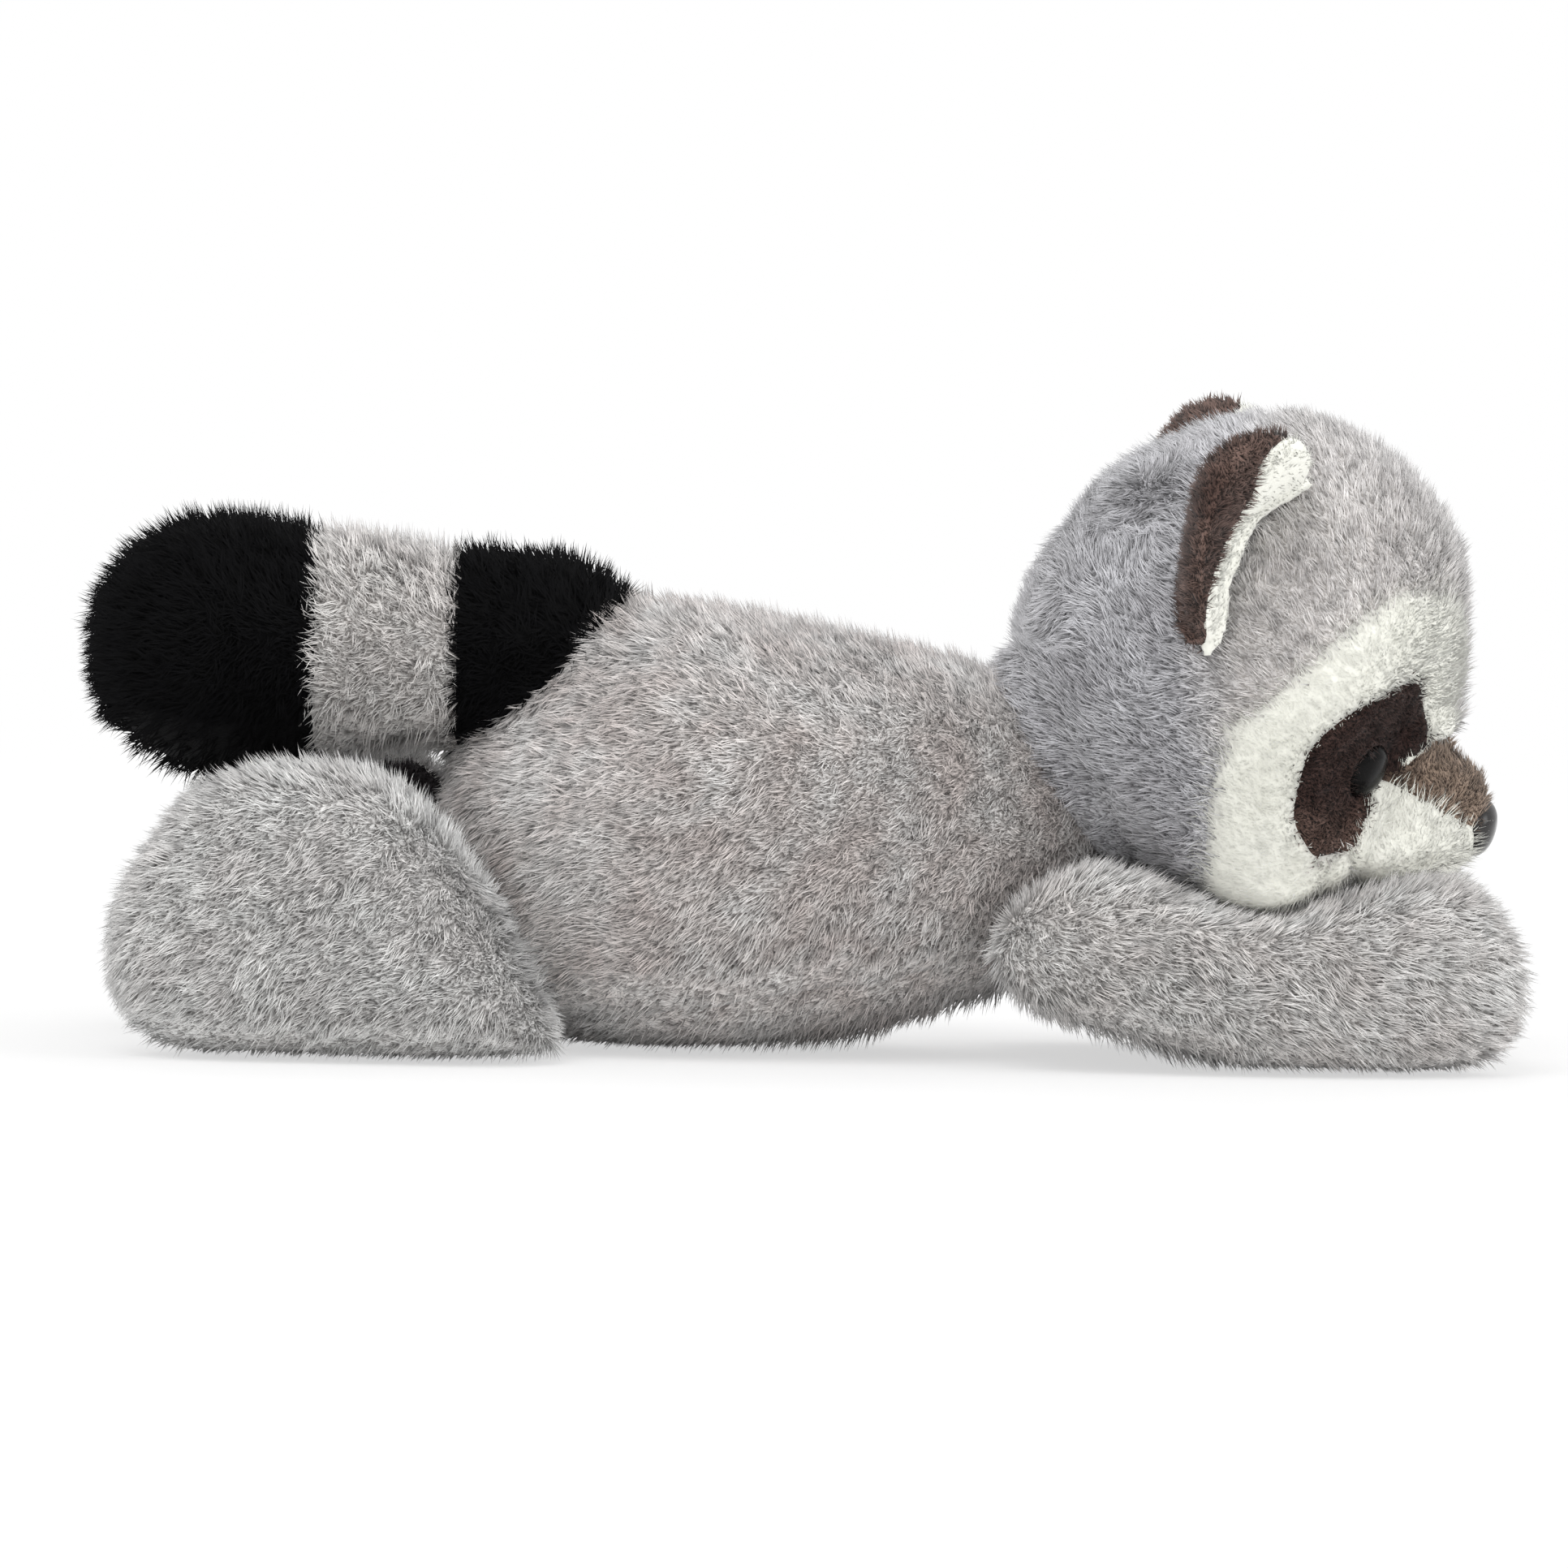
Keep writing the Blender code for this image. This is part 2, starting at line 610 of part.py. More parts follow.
def ear_layer(name, frame, shape, finish):
    """One layer of an ear: a flat oval dish, its middle surface leaning back and cupped forward.

    frame is its root's place and its three directions: along the root, outwards and forwards. shape gives
    the layer's depth on the forward side and on the rear side of the dish's middle surface.
    """
    root, along, outward, forward = frame
    front_depth, rear_depth, lift = shape
    rings, sides = EAR_RINGS, EAR_SIDES
    points, faces = [], []

    def place(radius, angle, depth):
        k = radius * math.cos(angle) * EAR_CHORD / 2
        e = radius * math.sin(angle) * EAR_RISE
        lean = -EAR_LEAN * max(e, 0.0) / EAR_RISE
        cup = EAR_CUP * (2 * k / EAR_CHORD) ** 2
        crown = math.sqrt(max(1 - radius**2, 0.0))
        return root + along * k + outward * e + forward * (lean + cup + lift + depth * crown)

    loops = {}
    for face, depth in (("front", front_depth), ("rear", rear_depth)):
        for ring in range(1, rings):
            radius = math.sin(0.5 * math.pi * ring / rings)
            loops[face, ring] = [len(points) + i for i in range(sides)]
            points += [place(radius, 2 * math.pi * i / sides, depth) for i in range(sides)]
    rim = [len(points) + i for i in range(sides)]
    points += [place(1.0, 2 * math.pi * i / sides, 0.0) for i in range(sides)]
    for face, depth in (("front", front_depth), ("rear", rear_depth)):
        loops[face, rings] = rim
        pole = len(points)
        points.append(place(0.0, 0.0, depth))
        first = loops[face, 1]
        faces += [(first[i], first[(i + 1) % sides], pole) for i in range(sides)]
        for ring in range(1, rings):
            a, b = loops[face, ring], loops[face, ring + 1]
            faces += [(a[i], a[(i + 1) % sides], b[(i + 1) % sides], b[i]) for i in range(sides)]
    return new_object(name, mesh_from(points, faces), finish)


def build_ears(parts):
    x, z = on_head([EAR_SET])[0]
    head_room = grown_copy(parts["cranium"], "head_room_for_ears", CLEAR)
    for side, sign in (("right", -1), ("left", 1)):
        outward = Vector((0.0, sign * math.cos(EAR_SPREAD), math.sin(EAR_SPREAD)))
        centre = Vector((x, 0, z - math.tan(EAR_SPREAD) * HEAD_WIDTH / 2))
        root = outer_point(parts["cranium"], centre, outward)
        along = Vector((math.cos(EAR_ROOT_TILT), 0, math.sin(EAR_ROOT_TILT)))
        along = (along - outward * along.dot(outward)).normalized()
        forward = along.cross(outward)
        forward = forward if forward.x > 0 else -forward
        frame = (root, along, outward, forward)
        back_shape = (0.0, -EAR_BACK_DEPTH, 0.0)
        lining_shape = (EAR_LINING_DEPTH, 0.0, CLEAR)
        back = ear_layer(f"ear_back_{side}", frame, back_shape, plush("brown_plush", BROWN))
        lining = ear_layer(f"ear_lining_{side}", frame, lining_shape, plush("white_plush", WHITE))
        cut(back, head_room)
        cut(lining, head_room)


def between(a, b, share):
    return a + (b - a) * min(max(share, 0.0), 1.0)


def build_arms(parts):
    rear = torso_front() - ARM_LEAD
    outline = placed(ARM_OUTLINE, (rear, -PRESS), ARM_LENGTH, ARM_HEIGHT)
    for side, sign in (("right", -1), ("left", 1)):
        form = stuffed(
            f"arm_form_{side}",
            outline,
            ARM_WIDTH / 2,
            ARM_FULLNESS,
            LIMB_FINENESS,
            lambda x: sign * between(SHOULDER_Y, PAW_Y, (x - rear) / ARM_LENGTH),
        )
        arm = node(f"arm_{side}", form, plush("grey_plush", GREY))
        cut(arm, parts["torso_room"], parts["head_room"], parts["muzzle_room"])


def build_legs(parts):
    rear = RUMP_X + LEG_LEAD - LEG_LENGTH
    outline = placed(LEG_OUTLINE, (rear, -PRESS), LEG_LENGTH, LEG_HEIGHT + PRESS)
    loop = smooth_loop(outline, LIMB_FINENESS[0])
    for side, sign in (("right", -1), ("left", 1)):

        def middle(x):
            return sign * between(FOOT_Y, HIP_Y, (x - rear) / LEG_LENGTH)

        form = stuffed(f"leg_form_{side}", outline, LEG_WIDTH / 2, LEG_FULLNESS, LIMB_FINENESS, middle)
        seam_y = middle(rear + LEG_LENGTH / 2) - sign * (LEG_WIDTH / 2 - SOLE_LEVEL)
        past = middle(rear + LEG_LENGTH / 2) - sign * LEG_WIDTH
        leg = node(f"leg_{side}", form, plush("grey_plush", GREY))
        pocket = prism(f"sole_pocket_{side}", loop, seam_y, past, CLEAR - SOLE_MARGIN)
        cut(leg, pocket, parts["torso_room"], parts["tail_room"])
        sole = node(f"sole_{side}", form, plush("charcoal_plush", CHARCOAL))
        keep(sole, prism(f"sole_space_{side}", loop, seam_y - sign * CLEAR, past, -SOLE_MARGIN))
        cut(sole, parts["torso_room"], parts["tail_room"])


def tail_middle():
    """The tail's axis height, and the x of its tip and its root."""
    root = RUMP_X + TAIL_ROOT_LEAD
    return BODY_HEIGHT - TAIL_DROP, root - TAIL_LENGTH, root


def tail_form():
    level, tip, root = tail_middle()
    profile = smooth_line([(tip + u * (root - tip), r * TAIL_RADIUS) for u, r in TAIL_PROFILE], TAIL_RINGS)
    points, faces = [], []
    for x, radius in profile[1:-1]:
        for i in range(TAIL_SIDES):
            angle = 2 * math.pi * i / TAIL_SIDES
            points.append((x, radius * math.cos(angle), level + radius * math.sin(angle)))
    last = len(profile) - 3
    for ring in range(last):
        for i in range(TAIL_SIDES):
            a, b = ring * TAIL_SIDES + i, ring * TAIL_SIDES + (i + 1) % TAIL_SIDES
            faces.append((a, b, b + TAIL_SIDES, a + TAIL_SIDES))
    for x, first in ((tip, 0), (root, last * TAIL_SIDES)):
        points.append((x, 0.0, level))
        faces += [(first + i, first + (i + 1) % TAIL_SIDES, len(points) - 1) for i in range(TAIL_SIDES)]
    return new_object("tail_form", mesh_from(points, faces), helper=True)


def build_tail(parts):
    level, tip, root = tail_middle()
    form = parts["tail"]
    first_seam = tip + TAIL_TIP_BAND
    second_seam = first_seam + TAIL_GREY_BAND
    wide = 2 * TAIL_RADIUS
    bands = (
        ("tail_tip", tip - wide, first_seam - CLEAR / 2, plush("black_plush", BLACK)),
        ("tail_band", first_seam + CLEAR / 2, second_seam - CLEAR / 2, plush("grey_plush", GREY)),
        ("tail_root", second_seam + CLEAR / 2, root + wide, plush("black_plush", BLACK)),
    )
    for name, start, end, finish in bands:
        outline = [(start, level - wide), (end, level - wide), (end, level + wide), (start, level + wide)]
        band = node(name, form, finish)
        keep(band, prism(f"{name}_space", outline, -wide, wide))
        if name != "tail_tip":
            cut(band, parts["torso_room"])


def main():
    clear_scene()
    parts = {}
    body, belly = build_torso(parts)
    build_head(parts)
    parts["torso_room"] = grown_copy(parts["torso"], "torso_room", CLEAR)
    parts["head_room"] = grown_copy(parts["cranium"], "head_room", CLEAR)
    parts["muzzle_room"] = grown_copy(parts["muzzle"], "muzzle_room_for_arms", CLEAR)
    parts["tail"] = tail_form()
    parts["tail_room"] = grown_copy(parts["tail"], "tail_room", CLEAR)
    cut(body, parts["head_room"])
    cut(belly, parts["head_room"])
    build_ears(parts)
    build_arms(parts)
    build_legs(parts)
    build_tail(parts)


main()
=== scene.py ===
import math

import bmesh
import bpy
import numpy as np
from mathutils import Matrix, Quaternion, Vector, noise
from mathutils.bvhtree import BVHTree


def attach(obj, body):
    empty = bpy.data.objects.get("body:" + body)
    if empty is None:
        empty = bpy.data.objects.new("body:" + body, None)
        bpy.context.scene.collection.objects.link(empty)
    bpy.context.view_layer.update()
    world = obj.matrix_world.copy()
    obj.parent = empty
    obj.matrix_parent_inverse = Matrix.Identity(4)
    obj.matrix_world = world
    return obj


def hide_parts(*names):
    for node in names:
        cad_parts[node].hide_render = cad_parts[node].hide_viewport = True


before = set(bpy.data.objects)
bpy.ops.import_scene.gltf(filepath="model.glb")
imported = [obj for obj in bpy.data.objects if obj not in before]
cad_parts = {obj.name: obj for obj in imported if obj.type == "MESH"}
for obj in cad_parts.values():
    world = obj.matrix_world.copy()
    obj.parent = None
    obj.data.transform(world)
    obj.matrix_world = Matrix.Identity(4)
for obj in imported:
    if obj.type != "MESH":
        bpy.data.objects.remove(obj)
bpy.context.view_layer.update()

mm = 0.001
scene = bpy.context.scene

# Camera, light and floor

cameraSet = {
    "distance": 2.0,
    "azimuth": 0.11,            # degrees, 0 looks straight at the right side
    "elevation": 2.5,
    "roll": 1.23,
    "target": (0.0, 0.0, 0.07),
    "targetPixel": (994, 878),  # where the target is in the photograph
    "pixelsPerMetre": 5975,     # at the target
    "imageSize": 1932,
    "sensor": 36.0,
    "clip": 20,
}


def placed(name, data):
    obj = bpy.data.objects.new(name, data)
    scene.collection.objects.link(obj)
    return obj


def makeCamera():
    azimuth, elevation = math.radians(cameraSet["azimuth"]), math.radians(cameraSet["elevation"])
    back = Vector((
        math.sin(azimuth) * math.cos(elevation),
        -math.cos(azimuth) * math.cos(elevation),
        math.sin(elevation),
    ))
    focal = cameraSet["pixelsPerMetre"] * cameraSet["distance"]
    data = bpy.data.cameras.new("camera")
    data.sensor_width = cameraSet["sensor"]
    data.lens = cameraSet["sensor"] * focal / cameraSet["imageSize"]
    data.clip_end = cameraSet["clip"]
    camera = placed("camera", data)
    camera.location = Vector(cameraSet["target"]) + back * cameraSet["distance"]
    middle = cameraSet["imageSize"] / 2
    pan = math.atan((cameraSet["targetPixel"][0] - middle) / focal)
    tilt = math.atan((cameraSet["targetPixel"][1] - middle) / focal)
    turn = (-back).to_track_quat("-Z", "Y")
    turn = turn @ Quaternion((0, 0, 1), math.radians(cameraSet["roll"]))
    turn = turn @ Quaternion((0, 1, 0), pan) @ Quaternion((1, 0, 0), tilt)
    camera.rotation_mode = "QUATERNION"
    camera.rotation_quaternion = turn
    scene.camera = camera


white = (1, 1, 1, 1)
studioSet = {
    "world": 0.84,
    "lamps": (  # place, width, watts; each faces the raccoon
        ((-0.50, -1.20, 1.60), 1.3, 13.2),
        ((1.40, -0.70, 0.90), 1.0, 5.8),
        ((0.10, 1.20, 1.40), 1.2, 6.3),
    ),
    "floorColour": 0.90,
    "floorSize": 14.0,
    "floorGlow": (0.60, 1.0),   # how white the floor is for the camera, close by and far off
    "fade": (0.25, 1.4),        # metres from the raccoon
}


def addNode(tree, kind, **settings):
    made = tree.nodes.new(kind)
    for name, value in settings.items():
        setattr(made, name, value)
    return made


def feed(tree, node, **values):
    # a value is a socket to link or a constant; a name's underscores stand for spaces
    for name, value in values.items():
        socket = node.inputs[int(name[1:])] if name[1:].isdigit() else node.inputs[name.replace("_", " ")]
        if isinstance(value, bpy.types.NodeSocket):
            tree.links.new(value, socket)
        else:
            socket.default_value = value
    return node


def fed(tree, kind, **values):
    return feed(tree, addNode(tree, kind), **values)


def math2(tree, operation, a, b=0.0):
    return feed(tree, addNode(tree, "ShaderNodeMath", operation=operation), i0=a, i1=b).outputs[0]


def makeStudio():
    world = bpy.data.worlds.new("studio")
    world.use_nodes = True
    scene.world = world
    tree = world.node_tree
    tree.nodes.clear()
    light = fed(tree, "ShaderNodeBackground", Color=white, Strength=studioSet["world"])
    plain = fed(tree, "ShaderNodeBackground", Color=white, Strength=1.0)
    seen = addNode(tree, "ShaderNodeLightPath").outputs["Is Camera Ray"]
    mix = fed(tree, "ShaderNodeMixShader", i0=seen, i1=light.outputs[0], i2=plain.outputs[0])
    fed(tree, "ShaderNodeOutputWorld", Surface=mix.outputs[0])

    for i, (place, width, watts) in enumerate(studioSet["lamps"]):
        data = bpy.data.lights.new(f"lamp{i}", "AREA")
        data.shape = "DISK"
        data.size = width
        data.energy = watts
        lamp = placed(f"lamp{i}", data)
        lamp.location = place
        lamp.rotation_mode = "QUATERNION"
        sight = Vector(cameraSet["target"]) - lamp.location
        lamp.rotation_quaternion = sight.to_track_quat("-Z", "Y")

    half = studioSet["floorSize"] / 2
    mesh = bpy.data.meshes.new("floor")
    corners = [(-half, -half, 0), (half, -half, 0), (half, half, 0), (-half, half, 0)]
    mesh.from_pydata(corners, [], [(0, 1, 2, 3)])
    floor = placed("floor", mesh)
    finish = bpy.data.materials.new("paleFloor")
    finish.use_nodes = True
    mesh.materials.append(finish)
    tree = finish.node_tree
    tree.nodes.clear()
    level = studioSet["floorColour"]
    dull = fed(tree, "ShaderNodeBsdfDiffuse", Color=(level, level, level, 1))
    glow = fed(tree, "ShaderNodeEmission", Color=white, Strength=1.0)
    place = addNode(tree, "ShaderNodeTexCoord").outputs["Object"]
    apart = feed(tree, addNode(tree, "ShaderNodeVectorMath", operation="LENGTH"), i0=place)
    near, far = studioSet["floorGlow"]
    fade = addNode(tree, "ShaderNodeMapRange", interpolation_type="SMOOTHSTEP")
    feed(tree, fade, Value=apart.outputs["Value"], To_Min=near, To_Max=far)
    feed(tree, fade, From_Min=studioSet["fade"][0], From_Max=studioSet["fade"][1])
    seen = addNode(tree, "ShaderNodeLightPath").outputs["Is Camera Ray"]
    share = math2(tree, "MULTIPLY", seen, fade.outputs["Result"])
    mix = fed(tree, "ShaderNodeMixShader", i0=share, i1=dull.outputs[0], i2=glow.outputs[0])
    fed(tree, "ShaderNodeOutputMaterial", Surface=mix.outputs[0])
    scene.view_settings.view_transform = "Standard"


makeCamera()
makeStudio()
print("camera and studio")

# Pile finishes: colours are as a screen shows them, 0 to 255


def linear(colour):
    return tuple(c / 255 / 12.92 if c <= 10 else ((c / 255 + 0.055) / 1.055) ** 2.4 for c in colour)


pileSet = {  # each colour as a screen shows it: a fibre's root, its tip, and the tip in the darker patches
    "bodyPile": {
        "root": (129, 123, 120), "tip": (255, 253, 251), "second": (236, 226, 222),
        "warmRoot": (1.70, 1.82, 1.88),   # painted light: the root paler on the rump and the back than on the side and the belly
    },
    "legPile": {"root": (130, 127, 125), "tip": (255, 255, 253), "second": (242, 239, 237)},
    "armPile": {"root": (132, 128, 125), "tip": (255, 254, 252), "second": (238, 233, 230)},
    "headPile": {
        "root": (110, 109, 112), "tip": (228, 228, 232), "second": (204, 203, 207),
        "clump": 0.32,
        "warm": (1.30, 1.25, 1.16),   # painted light: the forehead lighter and warmer than the back of the head, which is painted in cool shade
        # painted light on the forehead's root as well
        "warmRoot": (2.8, 2.75, 2.6),
        "blend": (1.30, 1.30, 1.28),  # close to the white cloth
    },
    "bandPile": {"root": (136, 131, 128), "tip": (255, 253, 250), "second": (240, 235, 232)},
    "creamPile": {
        "root": (253, 253, 243), "tip": (255, 255, 246), "second": (255, 255, 244),
        "clump": 0.03,
        "bump": 0.08,
        "even": 0.35,                 # how much of the tufts' and the fibres' own shades it has
        "blend": (0.72, 0.71, 0.73),  # close to the grey cloth
    },
    "patchPile": {
        "root": (12, 8, 7), "tip": (90, 68, 62), "second": (62, 44, 40), "sheen": 0.1,
        "warm": (3.0, 3.5, 3.4),      # low down, against the top
    },
    "muzzlePile": {
        "root": (58, 44, 37), "tip": (190, 168, 150), "second": (158, 137, 120), "sheen": 0.2,
        "warm": (0.40, 0.37, 0.36),   # close to the eyes, against the nose's side
    },
    "earPile": {"root": (22, 14, 11), "tip": (132, 108, 99), "second": (92, 70, 63), "sheen": 0.15},
    "blackPile": {"root": (1, 1, 2), "tip": (6, 6, 9), "second": (4, 4, 6), "sheen": 0.0},
    "solePile": {"root": (24, 20, 22), "tip": (58, 51, 55), "second": (46, 40, 44), "sheen": 0.05},
}
pileLook = {
    "climb": (0.0, 0.55),    # where along a fibre its colour turns from root to tip
    "tuftShade": 0.12,       # how much a tuft is lighter or darker than the next
    "fibreShade": 0.22,
    "patchSize": 14.0,       # mm, of the larger and softer patches of the second colour
    "patchDetail": (3.0, 0.6),
    "patchRange": (0.35, 0.65),
    "clump": 0.38,           # how much darker the pile is where its tufts part
    "clumpSize": 3.0,        # mm
    "clumpDetail": (2.0, 0.55),
    "clumpRange": (0.34, 0.50),
    "creaseShadeStrength": 0.55,          # painted shade: how much darker the pile is in the creases between the parts
    "roughness": 0.85,
    "specular": 0.2,
    "sheen": 0.5,
    "sheenRoughness": 0.5,
}
streakSet = {                # the skin under the loose fibres has fine streaks that run with the nap
    "cell": 2.6,             # mm, a tuft in which all streaks run one way
    "turn": 1.1,             # how far a tuft turns from the nap
    "squeeze": 0.82,         # 1 makes endless streaks
    "width": 0.42,           # mm
    "detail": (2.0, 0.6),
    "range": (0.36, 0.60),
    "bump": 0.55,
    "height": 0.35,          # mm
}


def vectorMath(tree, operation, a, b=None):
    made = feed(tree, addNode(tree, "ShaderNodeVectorMath", operation=operation), i0=a)
    if b is not None:
        feed(tree, made, **({"Scale": b} if operation == "SCALE" else {"i1": b}))
    return made.outputs["Value" if operation in ("LENGTH", "DOT_PRODUCT") else "Vector"]


def newFinish(name):
    made = bpy.data.materials.new(name)
    made.use_nodes = True
    tree = made.node_tree
    place = addNode(tree, "ShaderNodeTexCoord").outputs["Object"]
    return made, tree, tree.nodes["Principled BSDF"], place


def storedValue(tree, name, output="Fac"):
    return addNode(tree, "ShaderNodeAttribute", attribute_name=name).outputs[output]


def noiseOf(tree, place, scale, detail, roughness=0.5):
    made = fed(tree, "ShaderNodeTexNoise", Vector=place, Scale=scale, Detail=detail, Roughness=roughness)
    return made.outputs["Fac"]


def mapped(tree, value, ends, low=0.0, high=1.0):
    made = fed(tree, "ShaderNodeMapRange", Value=value, To_Min=low, To_Max=high)
    return feed(tree, made, From_Min=ends[0], From_Max=ends[1]).outputs["Result"]


def colourMix(tree, share, first, second):
    made = addNode(tree, "ShaderNodeMix", data_type="RGBA")
    return feed(tree, made, i0=share, i6=first, i7=second).outputs[2]


def streaksOf(tree, place):
    # noise that is drawn out along the nap, which each tuft turns its own way
    cells = addNode(tree, "ShaderNodeTexVoronoi", voronoi_dimensions="3D", feature="F1")
    feed(tree, cells, Vector=place, Scale=1 / (streakSet["cell"] * mm))
    own = vectorMath(tree, "SUBTRACT", cells.outputs["Color"], (0.5, 0.5, 0.5))
    own = vectorMath(tree, "SCALE", own, streakSet["turn"])
    aim = vectorMath(tree, "ADD", storedValue(tree, "nap", "Vector"), own)
    aim = vectorMath(tree, "NORMALIZE", aim)
    local = vectorMath(tree, "SUBTRACT", place, cells.outputs["Position"])
    run = vectorMath(tree, "DOT_PRODUCT", local, aim)
    run = math2(tree, "MULTIPLY", run, streakSet["squeeze"])
    local = vectorMath(tree, "SUBTRACT", local, vectorMath(tree, "SCALE", aim, run))
    local = vectorMath(tree, "ADD", local, cells.outputs["Color"])
    return noiseOf(tree, local, 1 / (streakSet["width"] * mm), *streakSet["detail"])


def makePile(name, skin):
    setting = pileSet[name]
    made, tree, shader, place = newFinish(name.replace("Pile", "Ground") if skin else name)
    root, tip, second = ((*linear(setting[key]), 1) for key in ("root", "tip", "second"))
    soft = noiseOf(tree, place, 1 / (pileLook["patchSize"] * mm), *pileLook["patchDetail"])
    ends = colourMix(tree, mapped(tree, soft, pileLook["patchRange"]), tip, second)
    # painted light: a paler root where the torso's rump and back and the head's forehead are lit
    if "warmRoot" in setting:
        pale = [a * b for a, b in zip(root, setting["warmRoot"])]
        root = colourMix(tree, storedValue(tree, "warm"), root, (*pale, 1))
    parted = noiseOf(tree, place, 1 / (pileLook["clumpSize"] * mm), *pileLook["clumpDetail"])
    clump = mapped(tree, parted, pileLook["clumpRange"], 1 - setting.get("clump", pileLook["clump"]))
    # painted shade in the creases between the parts
    creaseShadeStrength = math2(tree, "MULTIPLY", storedValue(tree, "deep"), pileLook["creaseShadeStrength"])
    level = math2(tree, "MULTIPLY", clump, math2(tree, "SUBTRACT", 1.0, creaseShadeStrength))
    if skin:
        fine = streaksOf(tree, place)
        climb = mapped(tree, fine, streakSet["range"])
        bump = fed(tree, "ShaderNodeBump", Height=fine, Distance=streakSet["height"] * mm)
        feed(tree, bump, Strength=setting.get("bump", streakSet["bump"]))
        tree.links.new(bump.outputs["Normal"], shader.inputs["Normal"])
    else:
        climb = mapped(tree, storedValue(tree, "tip"), pileLook["climb"])
        own = 1.0
        for part in ("tuft", "fibre"):
            # from the darkest to the palest by twice the shade
            much = 2 * setting.get("even", 1.0) * pileLook[part + "Shade"]
            middled = math2(tree, "SUBTRACT", storedValue(tree, part), 0.5)
            own = math2(tree, "ADD", math2(tree, "MULTIPLY", middled, much), own)
        level = math2(tree, "MULTIPLY", own, level)
    base = colourMix(tree, climb, root, ends)
    # the second tone, which is painted light on the grey of the head, and the tone at seams of grey and
    # white
    for tone in ("warm", "blend"):
        if tone in setting:
            tint = addNode(tree, "ShaderNodeMix", data_type="VECTOR")
            feed(tree, tint, i0=storedValue(tree, tone), i4=(1, 1, 1), i5=setting[tone])
            base = vectorMath(tree, "MULTIPLY", base, tint.outputs[1])
    tree.links.new(vectorMath(tree, "SCALE", base, level), shader.inputs["Base Color"])
    shader.inputs["Roughness"].default_value = pileLook["roughness"]
    shader.inputs["Specular IOR Level"].default_value = pileLook["specular"]
    shader.inputs["Sheen Weight"].default_value = setting.get("sheen", pileLook["sheen"])
    shader.inputs["Sheen Roughness"].default_value = pileLook["sheenRoughness"]
    return made


pileMaterials = {name: makePile(name, False) for name in pileSet}
groundMaterials = {name: makePile(name, True) for name in pileSet}
print("pile finishes", len(pileMaterials) + len(groundMaterials))

# The pile: fibres in tufts, set on a skin's faces

treeInputs = {
    "Density": "NodeSocketFloat",    # fibres on a square metre
    "Length": "NodeSocketFloat",
    "Width": "NodeSocketFloat",      # a fibre's half width at its root
    "Lean": "NodeSocketFloat",       # how far a fibre lies along the nap, against how far it stands
    "Tuft Size": "NodeSocketFloat",
    "Tuft Pull": "NodeSocketFloat",  # 1 brings all tips of a tuft to one point
    "Tuft Turn": "NodeSocketFloat",
    "Stray": "NodeSocketFloat",
    "Seed": "NodeSocketInt",
    "Pile": "NodeSocketMaterial",
}
fibreSet = {  # between which shares of the given size each one's own lies
    "length": (0.70, 1.12),
    "tuftLength": (0.80, 0.35),  # the shortest tuft's share, and what the longest has over it
    "width": (0.75, 1.25),
}


